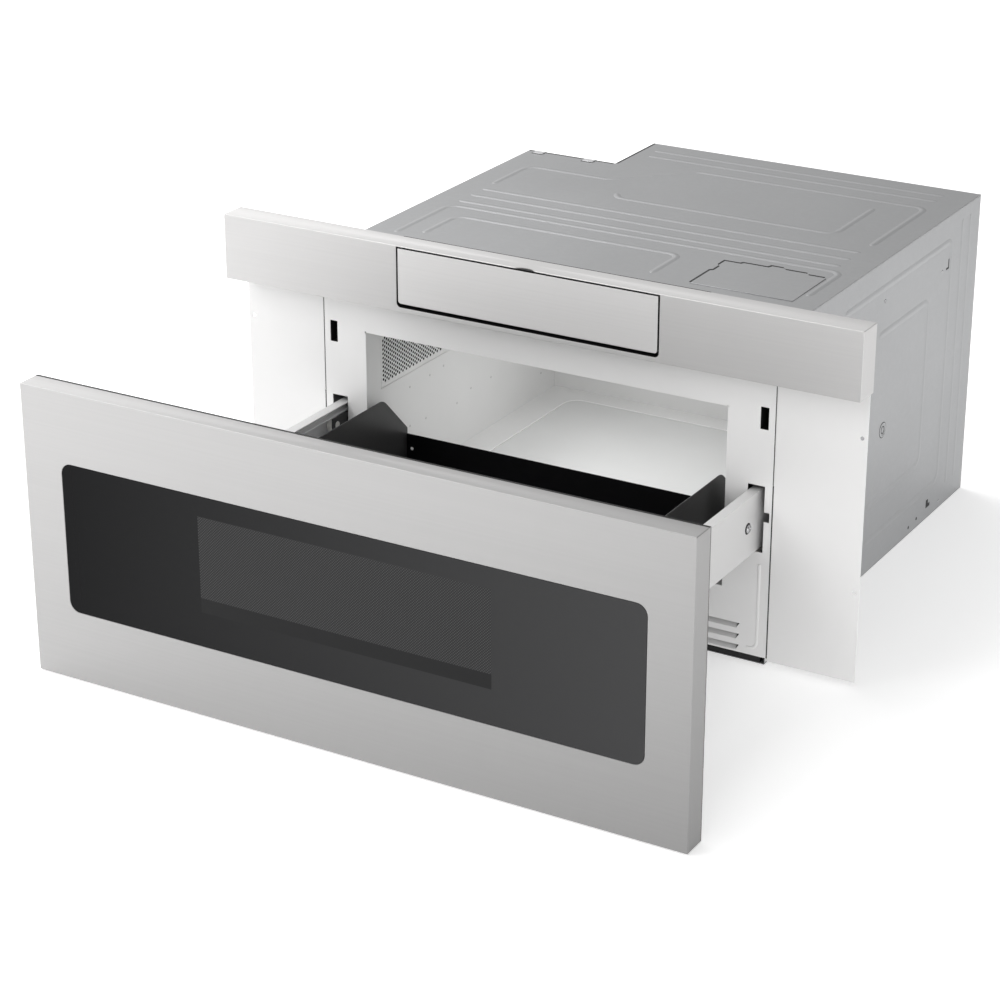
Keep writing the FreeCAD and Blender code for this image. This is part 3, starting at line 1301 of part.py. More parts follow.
def make_screws():
    arm = []
    for side, word in ((1, "right"), (-1, "left")):
        for number, y in enumerate((-24.0, -330.0), start=1):
            place_of = (side * arm_face, y, arm_low + s.arm_tall / 2)
            arm.append(screw_head(f"{word}_arm_screw_{number}", place_of, "X", side, 12, 4.0, 2.2))
    node("arm_screws", group("arm_screws", *arm))
    case = []
    places = [(110.0, 306.3), (276.0, 320.7), (73.0, 9.1)]
    for side, word, back in ((1, "right", case_deep), (-1, "left", notch_y)):
        for number, (inset, z) in enumerate(places, start=1):
            case.append(screw_head(f"{word}_case_screw_{number}", (side * half_case, back - inset, z),
                                   "X", side, 6, 3.6, 1.6))
    for number, x in enumerate((-60.0, 60.0, 190.0), start=1):
        case.append(screw_head(f"rear_case_screw_{number}", (x, case_deep, case_top - 13), "Y", 1, 6, 3.6, 1.6))
    node("case_screws", group("case_screws", *case))


make_base_pan()
make_base_trim()
make_side_panel("right_side_panel", 1, case_deep, side_ribs(case_deep))
make_side_panel("left_side_panel", -1, notch_y, side_ribs(notch_y))
make_top_cover()
make_access_plate()
make_rear_panel()
make_cord_gland()
make_front_frame()
make_flanges()
make_control_bar()
make_bar_carrier()
make_control_housing()
make_control_panel()
make_oven()
make_antenna_well()
make_vent_screen()
make_microwave_feed()
make_electrics()
make_fan()
make_rail_mount()
make_fixed_rail()
make_moving_rail()
make_arm()
make_rollers()
make_rack()
make_pinion()
make_gearmotor()
make_tray()
make_door()
make_latch_hooks()
make_latch_switches()
make_screws()
doc.recompute()

# ---- checks and files ----

faults = [item.Name for item in doc.Objects if "Invalid" in item.State or "Error" in item.State]
if faults:
    raise RuntimeError(f"not made: {faults}")
for name, item in nodes.items():
    if item.Shape.isNull() or not item.Shape.isValid() or not item.Shape.Solids:
        raise RuntimeError(f"{name} is not a sound solid")

os.makedirs("parts", exist_ok=True)
for name, item in nodes.items():
    item.Shape.exportStep(f"parts/{name}.step")
print(len(nodes), "sub-parts written")
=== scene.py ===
import json
from math import pi, radians

import bmesh
import bpy
import numpy as np
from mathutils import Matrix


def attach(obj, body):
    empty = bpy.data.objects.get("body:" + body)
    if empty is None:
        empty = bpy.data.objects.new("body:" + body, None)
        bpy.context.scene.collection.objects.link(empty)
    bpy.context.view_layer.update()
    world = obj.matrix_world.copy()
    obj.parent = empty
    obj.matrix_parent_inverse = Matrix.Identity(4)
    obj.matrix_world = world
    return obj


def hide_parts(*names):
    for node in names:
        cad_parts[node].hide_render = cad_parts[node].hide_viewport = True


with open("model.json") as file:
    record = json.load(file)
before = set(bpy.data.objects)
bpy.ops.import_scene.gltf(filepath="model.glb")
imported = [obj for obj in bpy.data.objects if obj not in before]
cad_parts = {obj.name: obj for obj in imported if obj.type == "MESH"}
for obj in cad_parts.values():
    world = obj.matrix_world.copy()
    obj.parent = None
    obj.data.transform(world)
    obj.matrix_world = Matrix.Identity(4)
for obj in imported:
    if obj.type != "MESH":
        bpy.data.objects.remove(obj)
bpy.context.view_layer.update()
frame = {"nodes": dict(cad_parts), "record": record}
nodes = frame["nodes"]
bodyOf = {node: body for body, members in frame["record"]["behaviour"]["bodies"].items() for node in members}
slotOf = {entry["node"]: entry["material_slot"] for entry in frame["record"]["subparts"]}
print("frame loaded:", len(nodes), "nodes")

millimetre = 0.001
weldGap = 0.002  # points of a mesh that lie closer than this, in millimetres, are joined

cameraView = {"place": (1.35094, -2.40232, 1.31053), "around": 30.253, "down": 23.192, "lens": 99.88}
camera = bpy.data.objects.new("photoCamera", bpy.data.cameras.new("photoCamera"))
camera.data.lens = cameraView["lens"]
camera.data.sensor_width = 36
camera.data.clip_end = 50
camera.location = cameraView["place"]
camera.rotation_euler = (radians(90 - cameraView["down"]), 0, radians(cameraView["around"]))
bpy.context.scene.collection.objects.link(camera)
bpy.context.scene.camera = camera
bpy.context.scene.view_settings.view_transform = "Standard"

# the sky grows from skyLow to skyHigh along skyWay, between the two shares skyStart and skyStop of that way
studio = {
    "skyLow": 0.27, "skyHigh": 0.90, "skyWay": (-0.8, -0.6, 0.0), "skyStart": -0.5, "skyStop": 0.4,
    "lights": {
        "key": {"place": (-1.6, -2.0, 2.1), "aim": (0, -0.2, 0.2), "wide": 1.5, "power": 22},
        "rightFront": {"place": (2.1, -2.1, 0.8), "aim": (0.15, 0, 0.12), "wide": 1.6, "power": 15},
        "overhead": {"place": (-1.5, 0.6, 2.3), "aim": (-0.1, 0.2, 0.2), "wide": 1.8, "power": 30},
        "ovenGlow": {"place": (0, 0.2, 0.277), "aim": (0, 0.2, 0), "wide": 0.26, "power": 0.45},
    },
}


def aimedLight(name, setup):
    # a soft square light that looks along the line from its place to its aim
    lamp = bpy.data.lights.new(name, "AREA")
    lamp.size = setup["wide"]
    lamp.energy = setup["power"]
    light = bpy.data.objects.new(name, lamp)
    light.location = setup["place"]
    way = np.subtract(setup["aim"], setup["place"])
    flat = np.hypot(way[0], way[1])
    light.rotation_euler = (pi / 2 + np.arctan2(way[2], flat), 0, np.arctan2(-way[0], way[1]) if flat else 0)
    light.visible_camera = False
    bpy.context.scene.collection.objects.link(light)


for lightName, setup in studio["lights"].items():
    aimedLight(lightName, setup)


def addNode(tree, kind, inputs=None, **settings):
    # a shader node; an input is linked when its value is another node's socket, and set when it is a constant
    made = tree.nodes.new(kind)
    for key, value in settings.items():
        setattr(made, key, value)
    for key, value in (inputs or {}).items():
        if isinstance(value, bpy.types.NodeSocket):
            tree.links.new(value, made.inputs[key])
        else:
            made.inputs[key].default_value = value
    return made


world = bpy.data.worlds.new("softSky")
world.use_nodes = True
bpy.context.scene.world = world
skyTree = world.node_tree
lookWay = addNode(skyTree, "ShaderNodeTexCoord").outputs["Generated"]
towards = addNode(skyTree, "ShaderNodeVectorMath", {0: lookWay, 1: studio["skyWay"]}, operation="DOT_PRODUCT")
strength = addNode(skyTree, "ShaderNodeMapRange", {
    "Value": towards.outputs["Value"], "From Min": studio["skyStart"], "From Max": studio["skyStop"],
    "To Min": studio["skyLow"], "To Max": studio["skyHigh"]})
sky = skyTree.nodes["Background"]
sky.inputs["Color"].default_value = (1.0, 1.0, 1.0, 1)
skyTree.links.new(strength.outputs["Result"], sky.inputs["Strength"])
print("camera and lights placed")


def newFinish(name, sockets):
    finish = bpy.data.materials.new(name)
    finish.use_nodes = True
    shader = finish.node_tree.nodes["Principled BSDF"]
    for socket, value in sockets.items():
        shader.inputs[socket].default_value = value
    return finish, finish.node_tree, shader


def stretchedNoise(tree, stretch, scale, detail):
    # noise on the piece's own coordinates; a small number in stretch draws it out along that axis
    place = addNode(tree, "ShaderNodeTexCoord").outputs["Object"]
    mapped = addNode(tree, "ShaderNodeMapping", {"Vector": place, "Scale": stretch}).outputs["Vector"]
    noise = addNode(tree, "ShaderNodeTexNoise", {"Vector": mapped, "Scale": scale, "Detail": detail})
    return noise.outputs["Fac"]


def spread(tree, pattern, low, high, start=0.3, stop=0.7):
    # carries a pattern's values from start to stop onto the range from low to high
    return addNode(tree, "ShaderNodeMapRange", {"Value": pattern, "From Min": start, "From Max": stop,
                                                "To Min": low, "To Max": high}).outputs["Result"]


def twoShades(tree, pattern, dark, light, start=0.35, stop=0.65):
    # a colour that goes from dark to light as the pattern goes from start to stop
    ramp = addNode(tree, "ShaderNodeValToRGB", {"Fac": pattern})
    ramp.color_ramp.elements[0].position = start
    ramp.color_ramp.elements[0].color = (*dark, 1)
    ramp.color_ramp.elements[1].position = stop
    ramp.color_ramp.elements[1].color = (*light, 1)
    return ramp.outputs["Color"]


def blended(tree, share, first, second, mode="MIX"):
    # one colour laid over another by a share from 0 to 1
    mix = addNode(tree, "ShaderNodeMix", data_type="RGBA", blend_type=mode)
    for slotNumber, value in ((0, share), (6, first), (7, second)):
        if isinstance(value, bpy.types.NodeSocket):
            tree.links.new(value, mix.inputs[slotNumber])
        else:
            mix.inputs[slotNumber].default_value = value
    return mix.outputs[2]


def relief(tree, shader, pattern, strength, depth):
    # a faint grain that only bends the light
    bump = addNode(tree, "ShaderNodeBump", {"Height": pattern, "Strength": strength, "Distance": depth})
    tree.links.new(bump.outputs["Normal"], shader.inputs["Normal"])


def shadesAround(colour, swing):
    # one colour a little darker and a little lighter
    return tuple(c * (1 - swing) for c in colour), tuple(min(1.0, c * (1 + swing)) for c in colour)


# the way across a front sheet, from its upper left to its lower right, and the places where its tone starts
# and stops to fall: a painted shade that darkens the sheet towards its lower right
paintedShadeWay = {"way": (0.6, 0.0, -1.3), "start": -0.644, "stop": 0.228}


def brushedFinish(name, colour, rough, stretch=(2.5, 520, 520), metal=1.0, swing=0.03, paintedShadeShare=None):
    # drawn lines, which run along X unless stretch says otherwise; the last argument, when given, is the share
    # of the tone that a painted shade leaves where it stops darkening the sheet towards its lower right
    finish, tree, shader = newFinish(name, {"Metallic": metal, "Anisotropic": 0.3})
    lines = stretchedNoise(tree, stretch, scale=1.0, detail=4.0)
    broad = stretchedNoise(tree, (1.2, 10, 10), scale=1.0, detail=2.0)
    shade = twoShades(tree, lines, *shadesAround(colour, swing))
    # painted shade: the tone falls across the sheet towards its lower right
    if paintedShadeShare:
        place = addNode(tree, "ShaderNodeTexCoord").outputs["Object"]
        across = addNode(tree, "ShaderNodeVectorMath", {0: place, 1: paintedShadeWay["way"]}, operation="DOT_PRODUCT")
        share = spread(tree, across.outputs["Value"], 0.0, 1.0, paintedShadeWay["start"], paintedShadeWay["stop"])
        paintedShadeTone = twoShades(tree, share, (1, 1, 1), (paintedShadeShare, paintedShadeShare, paintedShadeShare), start=0.0, stop=1.0)
        shade = blended(tree, 1.0, shade, paintedShadeTone, "MULTIPLY")
    tree.links.new(shade, shader.inputs["Base Color"])
    tree.links.new(spread(tree, broad, rough - 0.02, rough + 0.02), shader.inputs["Roughness"])
    relief(tree, shader, lines, strength=0.035, depth=0.0001)
    return finish


def paintedFinish(name, colour, rough, peel=0.05, metal=0.0, grainScale=420, coat=0.0, swing=0.02, gloss=0.5):
    # an even coat or a moulded surface; peel is the strength of its fine grain
    finish, tree, shader = newFinish(name, {"Metallic": metal, "Coat Weight": coat, "Coat Roughness": 0.2,
                                            "Specular IOR Level": gloss})
    grain = stretchedNoise(tree, (1, 1, 1), scale=grainScale, detail=2.0)
    broad = stretchedNoise(tree, (1, 1, 1), scale=9.0, detail=3.0)
    tree.links.new(twoShades(tree, broad, *shadesAround(colour, swing)), shader.inputs["Base Color"])
    tree.links.new(spread(tree, broad, rough - 0.03, rough + 0.03), shader.inputs["Roughness"])
    relief(tree, shader, grain, strength=peel, depth=0.0002)
    return finish


def galvanisedFinish(name, colour, rough):
    # small zinc flakes under a rolled grain along Y, both faint
    finish, tree, shader = newFinish(name, {"Metallic": 0.75})
    place = addNode(tree, "ShaderNodeTexCoord").outputs["Object"]
    flakes = addNode(tree, "ShaderNodeTexVoronoi", {"Vector": place, "Scale": 210.0}, feature="F1")
    flakeShade = addNode(tree, "ShaderNodeSeparateColor", {"Color": flakes.outputs["Color"]}).outputs["Red"]
    rolled = stretchedNoise(tree, (60, 3, 60), scale=1.0, detail=3.0)
    broad = stretchedNoise(tree, (1, 1, 1), scale=5.0, detail=2.0)
    mixed = addNode(tree, "ShaderNodeMath", {0: flakeShade, 1: rolled}, operation="MULTIPLY").outputs["Value"]
    shade = twoShades(tree, mixed, *shadesAround(colour, 0.018), start=0.05, stop=0.7)
    tree.links.new(shade, shader.inputs["Base Color"])
    tree.links.new(spread(tree, broad, rough - 0.03, rough + 0.03), shader.inputs["Roughness"])
    relief(tree, shader, rolled, strength=0.02, depth=0.0003)
    return finish


# the see-through field, the band at its foot, the pitch of the dots and half the glass's width, in metres, and
# the shades of the print; the border goes from edge to farEdge, left to right, as a painted reflection
windowPrint = {"left": -0.165, "right": 0.170, "low": 0.118, "high": 0.2225, "band": 0.134, "dot": 0.0030,
               "half": 0.33, "edge": (0.003, 0.003, 0.0035, 1), "farEdge": (0.046, 0.046, 0.047, 1),
               "bandShade": (0.018, 0.018, 0.0185, 1), "dotDark": (0.024, 0.024, 0.0245),
               "dotLight": (0.066, 0.066, 0.067)}


def windowFinish(name, w):
    # black printed glass; its see-through field is a little lighter, with the fine holes of the screen behind
    # it, and a plain darker band lies along the field's foot; the border lightens to the right, a painted
    # reflection
    finish, tree, shader = newFinish(name, {"Roughness": 0.05, "Specular IOR Level": 0.09})
    place = addNode(tree, "ShaderNodeTexCoord").outputs["Object"]
    parts = addNode(tree, "ShaderNodeSeparateXYZ", {"Vector": place})

    def joined(first, second, kind):
        return addNode(tree, "ShaderNodeMath", {0: first, 1: second}, operation=kind).outputs["Value"]

    def between(value, low, high):
        return joined(joined(value, low, "GREATER_THAN"), joined(value, high, "LESS_THAN"), "MULTIPLY")

    field = joined(between(parts.outputs["X"], w["left"], w["right"]),
                   between(parts.outputs["Z"], w["low"], w["high"]), "MULTIPLY")
    waves = []
    for axis in ("X", "Z"):
        turns = joined(parts.outputs[axis], 2 * pi / w["dot"], "MULTIPLY")
        waves.append(addNode(tree, "ShaderNodeMath", {0: turns}, operation="SINE").outputs["Value"])
    dots = joined(waves[0], waves[1], "MULTIPLY")
    dotShade = twoShades(tree, dots, w["dotDark"], w["dotLight"], start=0.0, stop=0.6)
    banded = blended(tree, between(parts.outputs["Z"], w["low"], w["band"]), dotShade, w["bandShade"])
    # painted reflection: the black border lightens from the left of the glass to the right
    fromLeft = spread(tree, parts.outputs["X"], 0.0, 1.0, -w["half"], w["half"])
    paintedReflection = blended(tree, fromLeft, w["edge"], w["farEdge"])
    tree.links.new(blended(tree, field, paintedReflection, banded), shader.inputs["Base Color"])
    return finish


# one finish for each material slot of the frame
finishes = {
    # the stainless darkens a little towards its lower right, a painted shade
    "stainless": brushedFinish("brushedStainless", (0.70, 0.693, 0.689), 0.54, metal=0.5, swing=0.011,
                               paintedShadeShare=0.88),
    "white_paint": paintedFinish("whitePaint", (0.87, 0.866, 0.862), 0.38, 0.03, coat=0.1, swing=0.008),
    "galvanised": galvanisedFinish("galvanisedSheet", (0.48, 0.484, 0.49), 0.44),
    "oven_enamel": paintedFinish("ovenEnamel", (0.74, 0.74, 0.735), 0.45, 0.10, grainScale=900),
    "black_paint": paintedFinish("blackPaint", (0.0035, 0.0035, 0.004), 0.6, 0.05, gloss=0.03),
    "black_plastic": paintedFinish("blackPlasticAndPaintedShade", (0.010, 0.010, 0.0105), 0.5, 0.1, grainScale=1400,
                                   gloss=0.3),
    "grey_plastic": paintedFinish("greyPlastic", (0.42, 0.425, 0.43), 0.5, 0.12, grainScale=1400),
    "window_glass": windowFinish("windowGlass", windowPrint),
    "clear_glass": paintedFinish("clearPane", (0.03, 0.033, 0.033), 0.05, 0.0, coat=0.5),
    "ceramic": paintedFinish("glassCeramic", (0.66, 0.664, 0.66), 0.5, 0.02, gloss=0.3),
    "dark_mesh": paintedFinish("darkMesh", (0.05, 0.05, 0.05), 0.5, 0.1),
    "zinc_steel": brushedFinish("brightZinc", (0.72, 0.72, 0.73), 0.40, (6, 300, 300), metal=0.7),
    "dark_rail": paintedFinish("blackPhosphate", (0.03, 0.03, 0.031), 0.42, 0.1, metal=0.3),
    "nylon": paintedFinish("whiteNylon", (0.80, 0.79, 0.75), 0.4, 0.05),
    # the rubber finish also darkens the strips, rings and patches that paint shade in gaps, holes and under
    # the access plate
    "rubber": paintedFinish("bushRubberAndPaintedShade", (0.02, 0.02, 0.02), 0.7, 0.2),
    "aluminium": brushedFinish("millAluminium", (0.75, 0.76, 0.77), 0.35, (8, 200, 200)),
    "core_steel": paintedFinish("coreSteel", (0.10, 0.10, 0.105), 0.5, 0.2, metal=0.6),
    "circuit_board": paintedFinish("solderMask", (0.03, 0.16, 0.07), 0.35, 0.05, coat=0.3),
    "screw_steel": brushedFinish("screwSteel", (0.50, 0.50, 0.51), 0.26, (200, 200, 200)),
    "key_glass": paintedFinish("keyGlass", (0.01, 0.01, 0.011), 0.12, 0.0, coat=0.5),
}

# the same materials with another shade for single pieces; most are lit or shaded copies that paint light or
# shade, as said above each
# a lighter copy of the stainless for the panel's face: painted light
panelLitSteel = brushedFinish("panelStainlessPaintedLight", (0.80, 0.792, 0.787), 0.54, metal=0.45, swing=0.011)
# a darker copy of the galvanised sheet for the case's sides, which lie away from the light: painted shade
sideShadedSheet = galvanisedFinish("galvanisedSidePaintedShade", (0.40, 0.404, 0.411), 0.44)
armPaint = paintedFinish("armPaint", (0.73, 0.727, 0.724), 0.38, 0.03, coat=0.1, swing=0.008)
# a lighter, less metallic copy of the zinc for the moving rails, which lie in shade: painted light
railZincPaintedLight = brushedFinish("railZincPaintedLight", (0.88, 0.88, 0.885), 0.45, (300, 6, 300), metal=0.15)
# a white lighter than the ceramic for the plate's bead: a painted highlight
plateRimHighlight = paintedFinish("plateRimHighlight", (0.86, 0.86, 0.855), 0.4, 0.02)
# a lighter, glossier copy of the black paint for the tray's sides: painted light
traySidesPaintedLight = paintedFinish("traySidesPaintedLight", (0.022, 0.022, 0.0225), 0.38, 0.05, gloss=0.5)
# a darker copy of the stainless for the door, whose tone also falls more towards its lower right: painted
# shade
doorShadedSteel = brushedFinish("doorStainlessPaintedShade", (0.535, 0.53, 0.528), 0.48, metal=0.55, swing=0.012, paintedShadeShare=0.53)
weldSpot = paintedFinish("weldSpot", (0.55, 0.55, 0.545), 0.5, 0.05)
# a black that paints the shade behind the vent's holes
ventPaintedShade = paintedFinish("ventPaintedShade", (0.004, 0.004, 0.004), 0.7, 0.05, gloss=0.05)
print("finishes made:", len(bpy.data.materials))


def loopShell(loops, closed=False):
    # four-sided faces between each loop of points and the next; closed joins the last loop to the first, and
    # otherwise a flat face closes each end
    loops = np.asarray(loops, float)
    rows, around = loops.shape[:2]
    grid = np.arange(rows * around).reshape(rows, around)
    lower = grid if closed else grid[:-1]
    upper = np.roll(grid, -1, 0) if closed else grid[1:]
    faces = np.stack([lower, np.roll(lower, -1, 1), np.roll(upper, -1, 1), upper], -1).reshape(-1, 4).tolist()
    if not closed:
        faces += [grid[0, ::-1].tolist(), grid[-1].tolist()]
    return loops.reshape(-1, 3), faces


def newPiece(name, node, *shells, finish=None, outward=True):
    # joins closed shells, given in millimetres, into one mesh whose faces are turned outward
    starts = np.cumsum([0] + [len(points) for points, faces in shells])
    points = np.concatenate([points for points, faces in shells]) * millimetre
    faces = [[corner + start for corner in face] for start, shell in zip(starts, shells) for face in shell[1]]
    mesh = bpy.data.meshes.new(name)
    mesh.from_pydata(points.tolist(), [], faces)
    if outward:
        work = bmesh.new()
        work.from_mesh(mesh)
        bmesh.ops.recalc_face_normals(work, faces=work.faces)
        work.to_mesh(mesh)
        work.free()
    return evenShading(dressed(bpy.data.objects.new(name, mesh), node, finish))


def dressed(piece, node, finish=None):
    # finish is the name of another slot, or a material of its own within the node's slot
    bpy.context.scene.collection.objects.link(piece)
    slot = finish if isinstance(finish, str) else slotOf[node]
    piece.data.materials.clear()
    piece.data.materials.append(finish if isinstance(finish, bpy.types.Material) else finishes[slot])
    piece.data.polygons.foreach_set("use_smooth", np.ones(len(piece.data.polygons), bool))
    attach(piece, bodyOf[node])
    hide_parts(node)
    return piece


def evenShading(piece):
    # the large faces keep their own direction, so only the rounded edges between them blend
    weigh = piece.modifiers.new("evenShading", "WEIGHTED_NORMAL")
    weigh.weight = 100
    return piece


# the rounded edge of a softened copy: its steps, the least angle between two faces that takes it, and the
# greatest angle between triangles that count as one flat face, in degrees
softEdge = {"steps": 2, "least": 38, "flat": 0.5}


def softened(node, width, finish=None, flattened=True):
    # a welded copy of a node, with the small rounded edges that the plain solid lacks; flattened merges the
    # triangles of each flat face first
    mesh = nodes[node].data.copy()
    work = bmesh.new()
    work.from_mesh(mesh)
    bmesh.ops.remove_doubles(work, verts=work.verts, dist=weldGap * millimetre)
    if flattened:
        flat = radians(softEdge["flat"])
        bmesh.ops.dissolve_limit(work, angle_limit=flat, verts=work.verts, edges=work.edges)
    work.to_mesh(mesh)
    work.free()
    mesh.name = node + "_soft"
    piece = dressed(bpy.data.objects.new(mesh.name, mesh), node, finish)
    edge = piece.modifiers.new("softEdge", "BEVEL")
    edge.width = width * millimetre
    edge.segments = softEdge["steps"]
    edge.limit_method = "ANGLE"
    edge.angle_limit = radians(softEdge["least"])
    edge.use_clamp_overlap = False
    return evenShading(piece)


cornerSteps = 8  # points round each corner of an outline
notchRun = 15.0  # half the stretch of a top edge that gets extra points, for a notch in it


def roundedLoop(left, right, low, high, radius, across=0):
    # a rectangle's outline with a quarter circle at each corner, as rows of two coordinates; across is the
    # number of extra points along the middle of the top edge
    radius = np.broadcast_to(np.asarray(radius, float), (4,))[:, None]
    turn = np.array([-0.5, 0.0, 0.5, 1.0])[:, None] * pi + np.linspace(0, pi / 2, cornerSteps)
    middleX = np.array([right, right, left, left])[:, None] + np.array([-1, -1, 1, 1])[:, None] * radius
    middleZ = np.array([low, high, high, low])[:, None] + np.array([1, -1, -1, 1])[:, None] * radius
    loop = np.stack([middleX + radius * np.cos(turn), middleZ + radius * np.sin(turn)], -1)
    if across:
        run = np.linspace(notchRun, -notchRun, across)
        top = np.stack([run, np.full(across, float(high))], -1)
        return np.concatenate([loop[:2].reshape(-1, 2), top, loop[2:].reshape(-1, 2)])
    return loop.reshape(-1, 2)


def laid(axis, flat, level):
    # puts rows of two flat coordinates on the plane that lies at one level along an axis
    level = np.broadcast_to(np.asarray(level, float), flat.shape[:-1])
    across, up = flat[..., 0], flat[..., 1]
    return np.stack({"X": (level, across, up), "Y": (across, level, up), "Z": (across, up, level)}[axis], -1)


def quarterSteps(radius, count=4):
    # how far in from the edge, and how far down from the face, a small rounded edge lies at each step
    turn = np.linspace(0, pi / 2, count)
    return radius * (1 - np.sin(turn)), radius * (1 - np.cos(turn))


def drawnIn(loop, amount):
    # moves each corner inward, so that every edge of the outline lies inside its old place by the amount
    ahead = np.roll(loop, -1, 0) - loop
    turned = np.sum(loop[:, 0] * np.roll(loop[:, 1], -1) - loop[:, 1] * np.roll(loop[:, 0], -1))
    ahead *= np.sign(turned) / np.linalg.norm(ahead, axis=1, keepdims=True)
    normal = np.stack([-ahead[:, 1], ahead[:, 0]], -1)
    before = np.roll(normal, 1, 0)
    return loop + amount * (normal + before) / (1 + np.sum(normal * before, 1, keepdims=True))


def slab(outline, axis, low, high, edge, steps=3):
    # a flat sheet between two levels: its outline is drawn in by a quarter circle at each face's rim
    outline = np.asarray(outline, float)
    inset, drop = quarterSteps(edge, steps)
    insets = np.concatenate([inset, inset[::-1]])
    levels = np.concatenate([low + drop, high - drop[::-1]])
    return loopShell([laid(axis, drawnIn(outline, far), level) for far, level in zip(insets, levels)])


def box(low, high, edge):
    # a slab on a rectangle between two corners
    return slab([(low[0], low[1]), (high[0], low[1]), (high[0], high[1]), (low[0], high[1])], "Z",
                low[2], high[2], edge)


def turnedShell(profile, centre, axis, steps):
    # a profile of (distance along the axis, radius) rows carried once round that axis through the centre
    profile = np.asarray(profile, float)
    turn = np.linspace(0, 2 * pi, steps, endpoint=False)
    first, second = {"X": (1, 2), "Y": (0, 2), "Z": (0, 1)}[axis]
    flat = np.stack([centre[first] + profile[:, 1, None] * np.cos(turn),
                     centre[second] + profile[:, 1, None] * np.sin(turn)], -1)
    level = centre["XYZ".index(axis)] + np.repeat(profile[:, :1], steps, axis=1)
    return loopShell(laid(axis, flat, level))


# a rib's points: along each arc, along each nose and across; the least share of its height and width that is
# left at its tips, how far its foot reaches under the sheet, and the least step along it
ribGrid = {"arc": 9, "nose": 6, "across": 9, "tip": 0.08, "foot": 0.3, "apart": 0.05}


def roundedRoute(route, corner, noseRun):
    # straight runs joined by arcs of one radius; extra points near both ends let a rib fade out there, where
    # the fade goes from 0 at the tip to 1 along a quarter circle
    route = np.asarray(route, float)
    parts = [route[:1]]
    for before, here, after in zip(route[:-2], route[1:-1], route[2:]):
        inWay, outWay = here - before, after - here
        inWay, outWay = inWay / np.linalg.norm(inWay), outWay / np.linalg.norm(outWay)
        bend = np.arccos(np.clip(inWay @ outWay, -1, 1))
        side = np.sign(inWay[0] * outWay[1] - inWay[1] * outWay[0])
        start = here - inWay * corner * np.tan(bend / 2)
        middle = start + side * corner * np.array([-inWay[1], inWay[0]])
        turn = np.arctan2(*(start - middle)[::-1]) + side * np.linspace(0, bend, ribGrid["arc"])
        parts.append(middle + corner * np.stack([np.cos(turn), np.sin(turn)], -1))
    points = np.concatenate(parts + [route[-1:]])
    along = np.concatenate([[0], np.cumsum(np.linalg.norm(np.diff(points, axis=0), axis=1))])
    noses = np.linspace(0, noseRun, ribGrid["nose"])
    stops = np.unique(np.round(np.concatenate([along, noses, along[-1] - noses]), 4))
    stops = stops[np.concatenate([[True], np.diff(stops) > ribGrid["apart"]])]
    line = np.stack([np.interp(stops, along, points[:, n]) for n in (0, 1)], -1)
    fromTip = np.minimum(stops, along[-1] - stops).clip(0) / noseRun
    fade = np.sqrt(np.clip(1 - (1 - fromTip).clip(0) ** 2, 0, 1))
    return line, fade


def ribShell(route, corner, wide, rise, axis, level, sense=1):
    # a pressed rib: the height over the sheet is rise times the squared cosine of the place across it,
    # carried along the route, and both ends run out in a rounded nose; sense is the side of the sheet it
    # stands on
    line, fade = roundedRoute(route, corner, wide)
    way = np.gradient(line, axis=0)
    way /= np.linalg.norm(way, axis=1, keepdims=True)
    normal = np.stack([-way[:, 1], way[:, 0]], -1)
    across = np.linspace(-1, 1, ribGrid["across"])
    share = np.maximum(fade, ribGrid["tip"])[:, None]
    flat = line[:, None] + normal[:, None] * (across * wide / 2 * share)[..., None]
    height = level + sense * rise * np.cos(across * pi / 2) ** 2 * share
    under = level - sense * ribGrid["foot"]
    flat = np.concatenate([flat, flat[:, [-1, 0]]], 1)
    height = np.concatenate([height, np.full((len(line), 2), under)], 1)
    return loopShell(laid(axis, flat, height))


foldedRim = {"corner": 0.9, "leastCorner": 0.25}


def rimLoop(sheet, inset, across=0):
    # a front sheet's outline, drawn in by the inset
    half, corner = sheet["half"] - inset, max(foldedRim["corner"] - inset, foldedRim["leastCorner"])
    return roundedLoop(-half, half, sheet["low"] + inset, sheet["high"] - inset, corner, across=across)


doorFace = {"half": 379.5, "low": 1.0, "high": 321.5, "front": -393.6, "back": -366.0, "edge": 1.2,
            "hem": 0.2, "windowHalf": 332.8, "windowLow": 79.7, "windowHigh": 244.5, "corner": 12.0,
            "lip": 0.6, "skin": 1.0}


def makeDoorFace(d):
    # loops from the back of the folded rim, round the outer edge, over the face and into the window's lip,
    # then back along the inside of the sheet
    def outer(inset):
        return rimLoop(d, inset)

    def window(grow):
        return roundedLoop(-d["windowHalf"] - grow, d["windowHalf"] + grow, d["windowLow"] - grow,
                           d["windowHigh"] + grow, d["corner"] + grow)

    stops = [(outer(d["skin"]), d["back"]), (outer(d["hem"]), d["back"]), (outer(0), d["back"] - d["hem"])]
    inset, drop = quarterSteps(d["edge"])
    stops += [(outer(far), d["front"] + deep) for far, deep in zip(inset[::-1], drop[::-1])]
    inset, drop = quarterSteps(d["lip"])
    stops += [(window(far), d["front"] + deep) for far, deep in zip(inset, drop)]
    stops += [(window(0), d["front"] + d["skin"]), (outer(d["skin"]), d["front"] + d["skin"])]
    loops = [laid("Y", loop, level) for loop, level in stops]
    newPiece("doorFace", "door_skin", loopShell(loops, closed=True), finish=doorShadedSteel)


makeDoorFace(doorFace)

windowPane = {"gap": 0.3, "thick": 4.0, "edge": 0.35, "steps": 4}


